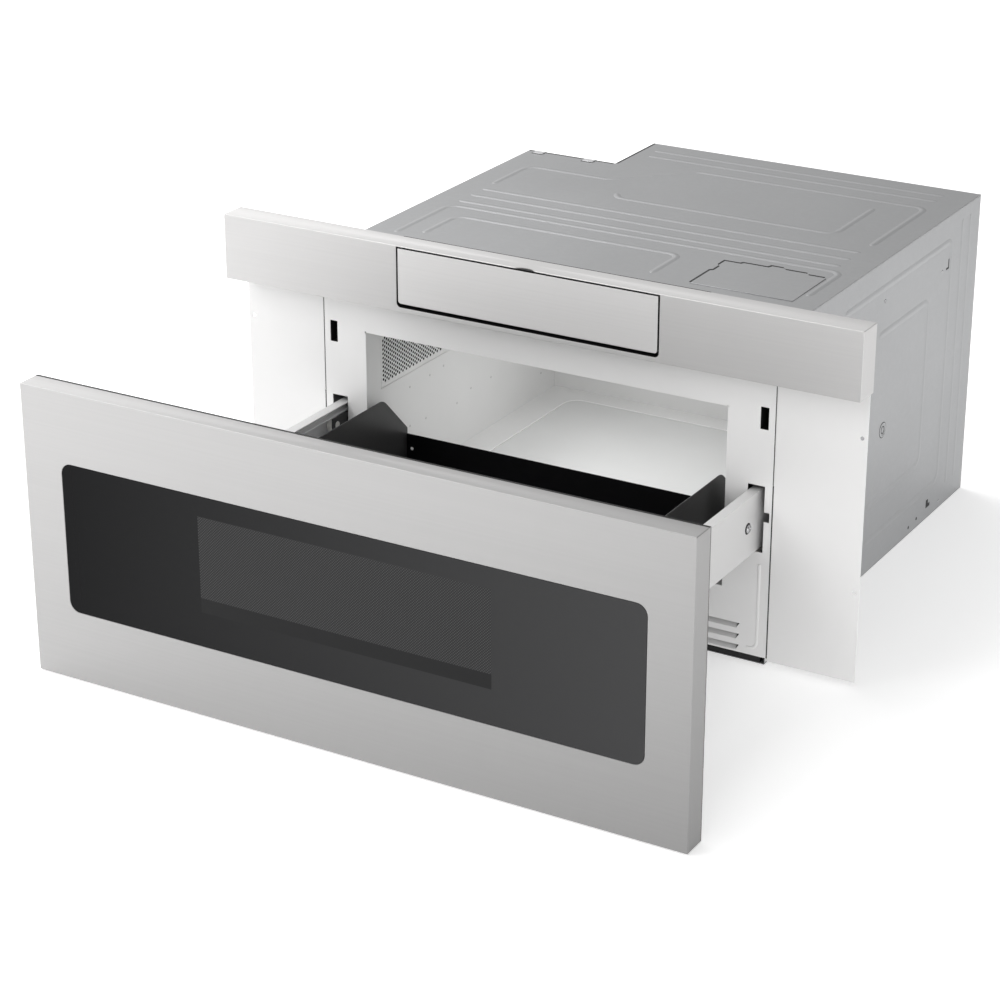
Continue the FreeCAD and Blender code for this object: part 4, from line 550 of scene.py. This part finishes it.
def makeWindowPane(w, d):
    # the glass fills the face's window but for an even gap, flush with the face
    edge = roundedLoop(w["gap"] - d["windowHalf"], d["windowHalf"] - w["gap"], d["windowLow"] + w["gap"],
                       d["windowHigh"] - w["gap"], d["corner"] - w["gap"])
    newPiece("windowPane", "door_glass",
             slab(edge, "Y", d["front"], d["front"] + w["thick"], w["edge"], w["steps"]))


makeWindowPane(windowPane, doorFace)

# ledge is how far down from the bar's top its notch reaches, and topGrow, lean and step keep loops apart that
# would lie on one another
controlBar = {"half": 379.5, "low": 328.2, "high": 402.1, "front": -35.9, "back": -4.5, "edge": 0.7,
              "skin": 1.0, "lip": 8.0, "hem": 0.3, "openHalf": 157.0, "openLow": 333.6, "openHigh": 401.1,
              "openCorner": 5.0, "topCorner": 0.3, "openEdge": 0.4, "notchHalf": 12.0, "notchDeep": 5.0,
              "notchPoints": 25, "ledge": 2.0, "topGrow": 0.1, "lean": 0.02, "step": 0.3}


def makeControlBar(b):
    # the same ring as the door's face; along the top edge, points near the middle move back by a circular
    # arc, which is the finger notch
    arc = (b["notchHalf"] ** 2 + b["notchDeep"] ** 2) / (2 * b["notchDeep"])

    def notched(loop, depth):
        x, z = loop[:, 0], loop[:, 1]
        inside = (np.abs(x) < b["notchHalf"]) & (z > b["high"] - b["ledge"])
        cut = np.where(inside, np.sqrt(np.maximum(arc ** 2 - x ** 2, 0)) - arc + b["notchDeep"], 0)
        pushed = np.maximum(depth, np.where(inside, b["front"] + cut, b["front"]))
        return laid("Y", loop, pushed + b["lean"] * (depth - b["front"]))

    def outer(inset):
        return rimLoop(b, inset, b["notchPoints"])

    def opening(grow):
        low, top = b["openCorner"] + grow, b["topCorner"]
        return roundedLoop(-b["openHalf"] - grow, b["openHalf"] + grow, b["openLow"] - grow,
                           b["openHigh"] + b["topGrow"] * grow, [low, top, top, low], across=b["notchPoints"])

    loops = [laid("Y", outer(b["lip"]), b["back"] - b["skin"]), laid("Y", outer(b["lip"]), b["back"]),
             laid("Y", outer(b["hem"]), b["back"]), laid("Y", outer(0), b["back"] - b["hem"])]
    inset, drop = quarterSteps(b["edge"])
    loops += [notched(outer(far), b["front"] + deep) for far, deep in zip(inset[::-1], drop[::-1])]
    inset, drop = quarterSteps(b["openEdge"], 3)
    loops += [notched(opening(far), b["front"] + deep) for far, deep in zip(inset, drop)]
    loops += [notched(opening(0), b["front"] + b["skin"]),
              notched(outer(b["skin"]), b["front"] + b["skin"] + b["step"]),
              laid("Y", outer(b["skin"]), b["back"] - b["skin"])]
    newPiece("controlBar", "control_bar", loopShell(loops, closed=True))


makeControlBar(controlBar)

panelCover = {"half": 155.0, "low": 338.0, "high": 399.3, "front": -35.9, "thick": 1.0, "skin": 0.3,
              "corner": 3.3, "topCorner": 0.6, "edge": 0.13, "bodyInset": 0.05, "bodyEdge": 0.1}


def makePanelCover(p):
    # a steel skin on a black body that shows as a thin dark line round it: the black paints the shade in the
    # gap round the panel
    edge = roundedLoop(-p["half"], p["half"], p["low"], p["high"],
                       [p["corner"], p["topCorner"], p["topCorner"], p["corner"]])
    skinBack = p["front"] + p["skin"]
    newPiece("panelCover", "panel_cover", slab(edge, "Y", p["front"], skinBack, p["edge"]), finish=panelLitSteel)
    body = slab(drawnIn(edge, p["bodyInset"]), "Y", skinBack, p["front"] + p["thick"], p["bodyEdge"])
    newPiece("panelBody", "panel_cover", body, finish="black_plastic")


makePanelCover(panelCover)

openingShade = {"gap": 0.02, "wall": 0.25, "sunk": 0.12, "deep": 9.0, "topCorner": 0.4}


def makeOpeningShade(o, b):
    # a thin dark wall round the inside of the bar's opening: painted shade in the gap round the panel
    def inner(inset):
        low, top = b["openCorner"] - inset, o["topCorner"]
        return roundedLoop(inset - b["openHalf"], b["openHalf"] - inset, b["openLow"] + inset,
                           b["openHigh"] - inset, [low, top, top, low])

    near, deep = b["front"] + o["sunk"], b["front"] + o["deep"]
    stops = [(o["gap"], near), (o["gap"], deep), (o["wall"], deep), (o["wall"], near)]
    newPiece("openingShade", "control_bar",
             loopShell([laid("Y", inner(inset), level) for inset, level in stops], closed=True),
             finish="black_plastic")


makeOpeningShade(openingShade, controlBar)

doorRearEdge = {"low": (-379.2, -368.4, 321.2), "high": (379.2, -365.8, 321.6), "edge": 0.1}
newPiece("doorRearEdge", "door_back_cover",
         box(doorRearEdge["low"], doorRearEdge["high"], doorRearEdge["edge"]), finish="black_plastic")
print("front faces made")

caseSheet = {"half": 272.3, "deep": 555.1, "notchX": -154.3, "notchY": 453.5, "top": 369.0, "sheet": 1.0,
             "edge": 0.35, "ribWide": 8.0, "ribRise": 0.5, "ribCorner": 14.0}
# the middle lines of the top's ribs, as rows of x and y
topRoutes = [
    [(-238.8, 92), (-238.8, 211), (248.8, 211), (248.8, 122)],
    [(-210, 105), (-210, 178), (72.8, 178), (72.8, 108)],
    [(-238.8, 230), (238.8, 230)], [(-238.8, 256.6), (238.8, 256.6)], [(-238.8, 283.4), (238.8, 283.4)],
    [(-238.8, 307), (-238.8, 391.5), (-130, 391.5), (-52, 471), (238.8, 471), (238.8, 312)],
    [(-95, 346), (-86, 331), (187, 331), (187, 440)],
    [(-134, 502.5), (238.8, 502.5)], [(-138, 526), (238.8, 526)],
]


def sideRoutes(back):
    # two open loops and two uprights near the panel's back edge, as rows of y and z
    outer, inner = back - 83, back - 146
    return [[(170, 337), (outer, 337), (outer, 40), (256, 40)],
            [(268, 283), (inner, 283), (inner, 83), (256, 83)],
            [(back - 53.5, 25), (back - 53.5, 354)], [(back - 29.5, 25), (back - 29.5, 354)]]


def makeCaseSheets(c):
    topEdge = [(-c["half"], 0), (c["half"], 0), (c["half"], c["deep"]), (c["notchX"], c["deep"]),
               (c["notchX"], c["notchY"]), (-c["half"], c["notchY"])]
    ribs = [ribShell(route, c["ribCorner"], c["ribWide"], c["ribRise"], "Z", c["top"]) for route in topRoutes]
    newPiece("topSheet", "top_cover", slab(topEdge, "Z", c["top"] - c["sheet"], c["top"], c["edge"]), *ribs)
    for word, side, back in (("right", 1, c["deep"]), ("left", -1, c["notchY"])):
        low, high = c["sheet"], c["top"] - c["sheet"]
        outline = [(0, low), (back, low), (back, high), (0, high)]
        levels = sorted((side * c["half"], side * (c["half"] - c["sheet"])))
        ribs = [ribShell(route, c["ribCorner"], c["ribWide"], c["ribRise"], "X", side * c["half"], side)
                for route in sideRoutes(back)]
        newPiece(word + "SideSheet", word + "_side_panel", slab(outline, "X", *levels, c["edge"]), *ribs,
                 finish=sideShadedSheet)


makeCaseSheets(caseSheet)

accessPlate = {"left": 124.5, "front": 98.0, "low": 369.0, "thick": 0.8, "edge": 0.25, "paintedShadowLeft": 3.0,
               "paintedShadowBack": 4.0, "paintedShadowLow": 0.2, "paintedShadowHigh": 0.5, "paintedShadowEdge": 0.1,
               "steps": [(0, 0), (118, 0), (118, 85), (98, 85), (96, 89), (70, 89), (66, 93), (52, 93),
                         (50, 87.5), (21, 87.5), (19, 84), (0, 84), (0, 68), (3, 65), (3, 50), (0, 47)]}


def makeAccessPlate(a):
    # the stepped lid, and a dark sheet under it that shows along its left and rear edges as a painted shadow
    outline = np.add(a["steps"], (a["left"], a["front"]))
    newPiece("accessPlate", "access_plate", slab(outline, "Z", a["low"], a["low"] + a["thick"], a["edge"]))
    paintedShadow = slab(outline + (-a["paintedShadowLeft"], a["paintedShadowBack"]), "Z", a["low"] - a["paintedShadowLow"],
                a["low"] + a["paintedShadowHigh"], a["paintedShadowEdge"])
    newPiece("accessPaintedShadow", "access_plate", paintedShadow, finish="rubber")


makeAccessPlate(accessPlate)

# places on the top sheet as left, front, right and back; a lug's shadow reaches past it by the four amounts
rearNotch = {"lugs": [(-262.0, 442.0, -249.0, 451.0), (-194.0, 442.0, -180.0, 451.0)],
             "lug": (368.6, 370.1, 0.3),
             "seams": [(-271.0, 450.2, -155.6, 452.6), (-153.6, 455.0, -151.4, 554.0)],
             "seam": (368.8, 369.2, 0.1), "shadow": (-1.2, -1.0, 0.4, 2.2)}


def makeRearNotch(n):
    # two lugs at the top of the notch's wall, the dark seams along it, and a painted shadow round each lug
    def strips(places, level):
        low, high, edge = level
        return [box((left, front, low), (right, back, high), edge) for left, front, right, back in places]

    shadows = [tuple(np.add(lug, n["shadow"])) for lug in n["lugs"]]
    newPiece("notchLugs", "top_cover", *strips(n["lugs"], n["lug"]), finish="zinc_steel")
    newPiece("notchSeamAndShadow", "top_cover", *strips(n["seams"] + shadows, n["seam"]), finish="rubber")


makeRearNotch(rearNotch)

# each run of a seam as its low end, high end and width
frameSeamShade = {"in": 273.75, "front": -1.14, "back": -0.6, "edge": 0.1,
             "runs": [(8.2, 204.8, 1.3), (205.2, 367.5, 0.55)]}


def makeFrameSeamShades(f):
    # a black strip in the gap between the white frame and each flange: painted shade that stands for the dark
    # inside the gap
    for word, side in (("right", 1), ("left", -1)):
        strips = []
        for low, high, wide in f["runs"]:
            ends = sorted((side * f["in"], side * (f["in"] + wide)))
            strips.append(box((ends[0], f["front"], low), (ends[1], f["back"], high), f["edge"]))
        newPiece(word + "FrameSeamShade", word + "_flange", *strips, finish="rubber")


makeFrameSeamShades(frameSeamShade)
print("case sheets made")

# marks on the right side, at places of y and z: a hook slot, a slot, small holes and a knock-out, both with a
# radius; the ring's rows are a height over the sheet and how far inside its radius they lie
sideMarks = {"face": 272.3, "sunk": 0.3, "proud": 0.12, "edge": 0.08, "dotSteps": 16, "ringSteps": 40,
             "hook": [(463.4, 316.3), (465.8, 316.3), (465.8, 304.6), (457.2, 304.6), (457.2, 306.9),
                      (463.4, 306.9)],
             "slot": [(441.6, 14.4), (453.4, 14.4), (453.4, 18.8), (448.0, 18.8), (448.0, 24.4),
                      (441.6, 24.4)],
             "dots": [(446.3, 306.9, 1.4), (482.4, 9.1, 1.9), (413.6, 11.9, 2.0), (390.0, 9.3, 2.0),
                      (279.3, 320.7, 2.2)],
             "knockOut": (292.8, 165.1, 8.5),
             "ring": [(-0.3, 0), (0.25, 0), (0.45, 0.5), (0.45, 1.3), (0.15, 2.0), (-0.3, 2.0)],
             "gaps": [(9.3, 8.5), (4.6, 3.6)], "gapRise": (0.1, 0.14)}


def makeSideMarks(m):
    face, sunk, proud = m["face"], -m["sunk"], m["proud"]
    # the slots, the small holes and the knock-out's gaps are dark patches on the sheet: painted shade that
    # stands for the dark inside each opening
    marks = [slab(m[word], "X", face + sunk, face + proud, m["edge"]) for word in ("hook", "slot")]
    marks += [turnedShell([(sunk, radius), (proud - 0.05, radius), (proud, radius - 0.1)], (face, y, z), "X",
                          m["dotSteps"]) for y, z, radius in m["dots"]]
    y, z, radius = m["knockOut"]
    low, high = m["gapRise"]
    marks += [turnedShell([(sunk, outer), (low, outer), (high, outer - 0.1), (high, inner), (sunk, inner)],
                          (face, y, z), "X", m["ringSteps"]) for outer, inner in m["gaps"]]
    newPiece("sideHoles", "right_side_panel", *marks, finish="rubber")
    ring = [(rise, radius - inside) for rise, inside in m["ring"]]
    newPiece("knockOut", "right_side_panel", turnedShell(ring, (face, y, z), "X", m["ringSteps"]))


makeSideMarks(sideMarks)

# the head's and the dish's rows are a height over the arm's face and a radius; the dish is a dark ring of
# painted shade round the head
armScrew = {"face": 258.0, "places": [(-24.0, 162.25), (-330.0, 162.25)], "steps": 28,
            "head": [(-0.3, 4.7), (0.9, 4.7), (1.6, 4.4), (2.3, 3.7), (2.75, 2.8), (2.9, 2.0), (1.6, 1.5),
                     (1.5, 0.05)],
            "dish": [(-0.3, 6.3), (0.08, 6.3), (0.14, 6.18)]}


def makeArmScrews(a):
    # a domed head with a small driver recess, in a dark ring of painted shade round its foot that stands for
    # the edge of its dish
    centres = [(side, (side * a["face"], y, z)) for side in (1, -1) for y, z in a["places"]]

    def turned(rows):
        return [turnedShell([(side * rise, radius) for rise, radius in rows], centre, "X", a["steps"])
                for side, centre in centres]

    newPiece("armScrewHeads", "arm_screws", *turned(a["head"]))
    newPiece("armScrewShadeRings", "arm_screws", *turned(a["dish"]), finish="rubber")


makeArmScrews(armScrew)

# rows of a height over the sheet and a radius
caseScrew = {"steps": 16, "rows": [(-0.2, 1.7), (0.15, 1.7), (0.25, 1.4), (0.25, 0.6), (0.05, 0.4)]}


def makeCaseScrews(c):
    # the case's small flush screws, set where the plain solids have their heads
    mesh = nodes["case_screws"].data
    points = np.zeros(len(mesh.vertices) * 3)
    mesh.vertices.foreach_get("co", points)
    points = points.reshape(-1, 3) / millimetre
    corners = np.zeros(len(mesh.edges) * 2, int)
    mesh.edges.foreach_get("vertices", corners)
    # points at one place share a number, and each head's points then all take the lowest number among them
    group = np.unique(np.round(points, 2), axis=0, return_inverse=True)[1].reshape(-1)
    joined = group[corners.reshape(-1, 2)]
    label = np.arange(group.max() + 1)
    while True:
        lowest = label[joined].min(1)
        after = label.copy()
        np.minimum.at(after, joined[:, 0], lowest)
        np.minimum.at(after, joined[:, 1], lowest)
        if (after == label).all():
            break
        label = after
    heads = label[group]
    shells = []
    for head in np.unique(heads):
        low, high = points[heads == head].min(0), points[heads == head].max(0)
        # a head's axis runs along its shortest way, and points away from the case's middle, or to the rear
        number = int(np.argmin(high - low))
        middle = (low + high) / 2
        sense = 1 if "XYZ"[number] == "Y" else np.sign(middle[number])
        middle[number] = low[number] if sense > 0 else high[number]
        rows = [(sense * rise, radius) for rise, radius in c["rows"]]
        shells.append(turnedShell(rows, middle, "XYZ"[number], c["steps"]))
    newPiece("caseScrewHeads", "case_screws", *shells)


makeCaseScrews(caseScrew)
print("marks and screws made")

ventSheet = {"inner": -220.0, "thick": 0.2, "front": 28.0, "back": 176.0, "low": 206.0, "high": 272.0,
             "columns": 40, "rows": 13, "hole": 1.7, "gap": 0.02, "shadeSheet": 0.17, "shadeSheetEdge": 0.05}


def makeVentSheet(v):
    # cells fill the sheet, and every second column stands half a cell higher; a cell's rim has eight points,
    # so that shifted columns meet point to point, and eight more stand round its hole
    stepY, stepZ = (v["back"] - v["front"]) / v["columns"], (v["high"] - v["low"]) / v["rows"]
    rim = np.array([(-1, -1), (0, -1), (1, -1), (1, 0), (1, 1), (0, 1), (-1, 1), (-1, 0)]) / 2
    turn = np.arctan2(rim[:, 1], rim[:, 0])
    tile = np.concatenate([rim * (stepY, stepZ), np.stack([np.cos(turn), np.sin(turn)], -1) * v["hole"]])
    column, row = np.meshgrid(np.arange(v["columns"]), np.arange(v["rows"]), indexing="ij")
    shifted = column % 2
    kept = row < v["rows"] - shifted
    middleY = v["front"] + (column + 0.5) * stepY
    middleZ = v["low"] + (row + 0.5 + 0.5 * shifted) * stepZ
    middle = np.stack([middleY, middleZ], -1)[kept]
    # the cells along the sheet's four edges have no hole
    last = v["rows"] - 1 - shifted
    holed = ((column > 0) & (column < v["columns"] - 1) & (row > 0) & (row < last))[kept]
    one = np.arange(8)
    quads = np.stack([one, (one + 1) % 8, 8 + (one + 1) % 8, 8 + one], -1)
    starts = np.arange(len(middle)) * 16
    faces = (starts[holed][:, None, None] + quads).reshape(-1, 4).tolist()
    faces += (starts[~holed][:, None] + one).tolist()
    points = [(middle[:, None] + tile).reshape(-1, 2)]
    # half cells close the foot and the head of each shifted column
    half = np.array([(-1, 0), (0, 0), (1, 0), (1, 1), (0, 1), (-1, 1)]) / 2 * (stepY, stepZ)
    left = v["front"] + (np.arange(1, v["columns"], 2) + 0.5) * stepY
    for level in (v["low"], v["high"] - stepZ / 2):
        count = sum(map(len, points))
        points.append((np.stack([left, np.full(len(left), level)], -1)[:, None] + half).reshape(-1, 2))
        faces += (count + np.arange(len(left) * 6).reshape(-1, 6)).tolist()
    sheet = newPiece("ventSheet", "vent_screen", (laid("X", np.concatenate(points), v["inner"]), faces),
                     outward=False)
    work = bmesh.new()
    work.from_mesh(sheet.data)
    bmesh.ops.remove_doubles(work, verts=work.verts, dist=weldGap * millimetre)
    bmesh.ops.delete(work, geom=[vert for vert in work.verts if not vert.link_faces], context="VERTS")
    work.to_mesh(sheet.data)
    work.free()
    wall = sheet.modifiers.new("sheetWall", "SOLIDIFY")
    wall.thickness = v["thick"] * millimetre
    wall.offset = -1
    # a black sheet close behind the holes: painted shade that stands for the dark inside behind them
    edge = [(v["front"], v["low"]), (v["back"], v["low"]), (v["back"], v["high"]), (v["front"], v["high"])]
    near = v["inner"] - v["thick"] - v["gap"]
    newPiece("ventShadeSheet", "vent_screen", slab(edge, "X", near - v["shadeSheet"], near, v["shadeSheetEdge"]),
             finish=ventPaintedShade)


makeVentSheet(ventSheet)

# small welds on the oven's left wall, at places of y and z; rows are a height over the wall and a radius
linerSpots = {"wall": -220.0, "steps": 14, "rows": [(-0.2, 1.5), (0.05, 1.5), (0.2, 1.05), (0.25, 0.3)],
              "places": [(161.8, 191.3), (131.8, 189.5), (88.5, 189.1), (223.2, 143.4), (191.2, 135.2),
                         (122.1, 139.9), (87.4, 141.9), (269.8, 142.1), (391.4, 107.8)]}
newPiece("linerSpots", "cavity_liner",
         *[turnedShell(linerSpots["rows"], (linerSpots["wall"], y, z), "X", linerSpots["steps"])
           for y, z in linerSpots["places"]], finish=weldSpot)

# a small light head on the tray's wall, with rows of a depth and a radius
traySpot = {"place": (-201.0, 60.8, 127.4), "rows": [(0.3, 2.0), (-0.15, 2.0), (-0.35, 1.5)], "steps": 18}
newPiece("traySpot", "tray_base", turnedShell(traySpot["rows"], traySpot["place"], "Y", traySpot["steps"]),
         finish="white_paint")

plateBead = {"half": 180.2, "front": 176.8, "back": 395.2, "level": 81.5, "wide": 3.0, "rise": 0.9,
             "corner": 21.0, "steps": 6}


def makePlateBead(b):
    # a raised line round the ceramic plate: half a sine wave across, carried along a rounded rectangle, in a
    # white lighter than the plate that paints a highlight along its edge
    loops = []
    for share in np.linspace(0, 1, b["steps"]):
        far = share * b["wide"]
        half = b["half"] - far
        loop = roundedLoop(-half, half, b["front"] + far, b["back"] - far, b["corner"] - far)
        loops.append(laid("Z", loop, b["level"] + b["rise"] * np.sin(pi * share)))
    newPiece("plateBead", "floor_plate", loopShell(loops, closed=True), finish=plateRimHighlight)


makePlateBead(plateBead)
print("oven details made")

# each place is a y, a z, and the two ends of the pin
roller = {"inner": 248.4, "wide": 6.2, "radius": 9.4, "hub": 3.9, "edge": 0.7, "dish": 0.8, "pinEdge": 0.3,
          "steps": 48, "places": {"nose": (-21.5, 175.6, 245.7, 254.7), "tail": (66.0, 161.9, 248.3, 256.6)}}


def makeRoller(hand, side, word, r):
    # a tread with rounded shoulders on one axle line; the pin stands out past it into its rail's hole
    y, z, pinFrom, pinTo = r["places"][word]
    outer, pin = r["inner"] + r["wide"], r["hub"] - r["pinEdge"]
    inset, drop = quarterSteps(r["edge"])
    near = [(r["inner"] + deep, r["radius"] - far) for far, deep in zip(inset, drop)]
    away = [(outer - deep, r["radius"] - far) for far, deep in zip(inset[::-1], drop[::-1])]
    rows = [(pinFrom, pin), (pinFrom + r["pinEdge"], r["hub"]), (r["inner"], r["hub"]),
            (r["inner"], r["hub"] + r["dish"]), (r["inner"], r["radius"] - r["edge"] - 0.1)]
    rows += near + away
    rows += [(outer, r["hub"] + r["dish"]), (outer, r["hub"]), (pinTo - r["pinEdge"], r["hub"]), (pinTo, pin)]
    shell = turnedShell([(side * along, radius) for along, radius in rows], (0, y, z), "X", r["steps"])
    newPiece(f"{hand}{word.title()}Roller", f"{hand}_{word}_roller", shell)


for hand, side in (("right", 1), ("left", -1)):
    for word in roller["places"]:
        makeRoller(hand, side, word, roller)

# rows of a depth and a radius
cordBush = {"x": -100, "z": 300, "steps": 40,
            "rows": [(552.3, 9.6), (552.3, 12.6), (553.6, 13.0), (554.9, 13.0), (555.1, 15.0), (556.2, 15.0),
                     (557.0, 14.2), (557.1, 13.2), (557.1, 12.0), (556.6, 11.2), (554.0, 11.0),
                     (552.6, 10.4)]}


def makeCordBush(b):
    # the rows turned once round the hole, the last row joined back to the first
    turn = np.linspace(0, 2 * pi, b["steps"], endpoint=False)
    circle = np.stack([np.cos(turn), np.sin(turn)], -1)
    loops = [laid("Y", (b["x"], b["z"]) + radius * circle, y) for y, radius in b["rows"]]
    newPiece("cordBush", "cord_gland", loopShell(loops, closed=True))


makeCordBush(cordBush)
print("rollers and bush made")

# the width of the rounded edge, in millimetres, of each node that gets a softened copy
softWidths = {
    "front_frame": 0.35, "left_flange": 0.4, "right_flange": 0.4, "base_pan": 0.3, "base_trim": 0.5,
    "rear_panel": 0.35, "bar_carrier": 0.4, "control_housing": 0.6, "cavity_liner": 0.4, "floor_plate": 0.5,
    "door_frame": 0.5, "door_back_cover": 0.4, "left_arm": 0.2, "right_arm": 0.2, "left_moving_rail": 0.3,
    "right_moving_rail": 0.3, "left_fixed_rail": 0.2, "right_fixed_rail": 0.2, "tray_left_side": 0.4,
    "tray_right_side": 0.4, "tray_base": 0.35, "tray_glass": 0.4, "panel_housing": 0.5, "latch_hooks": 0.4,
    "latch_switches": 0.5, "inner_window": 0.4, "left_rail_mount": 0.3, "right_rail_mount": 0.3,
}
ownFinish = {"tray_left_side": traySidesPaintedLight, "tray_right_side": traySidesPaintedLight, "left_arm": armPaint,
             "right_arm": armPaint, "left_moving_rail": railZincPaintedLight, "right_moving_rail": railZincPaintedLight}
for node, width in softWidths.items():
    # the arms keep their triangles, because a merged end face was cut into triangles that overlap
    softened(node, width, finish=ownFinish.get(node), flattened=not node.endswith("_arm"))
print("sheet parts softened:", len(softWidths))

# every node's own mesh stays as it is and takes its slot's finish
for node, item in nodes.items():
    item.data.materials.clear()
    item.data.materials.append(finishes[slotOf[node]])
print("node finishes given")

# half and level are in metres, and lift is the glow that carries the floor up to a plain pale ground
floorPiece = {"half": 14.0, "level": -0.0003, "shade": (0.98, 0.98, 0.98, 1), "lift": 0.42, "rough": 0.8}
half, level = floorPiece["half"], floorPiece["level"]
floorCorners = [(-half, -half, level), (half, -half, level), (half, half, level), (-half, half, level)]
floorMesh = bpy.data.meshes.new("studioFloor")
floorMesh.from_pydata(floorCorners, [], [(0, 1, 2, 3)])
floor = bpy.data.objects.new("studioFloor", floorMesh)
bpy.context.scene.collection.objects.link(floor)
floorFinish = newFinish("paleFloor", {
    "Roughness": floorPiece["rough"], "Base Color": floorPiece["shade"], "Emission Color": (1, 1, 1, 1),
    "Emission Strength": floorPiece["lift"]})[0]
floorMesh.materials.append(floorFinish)
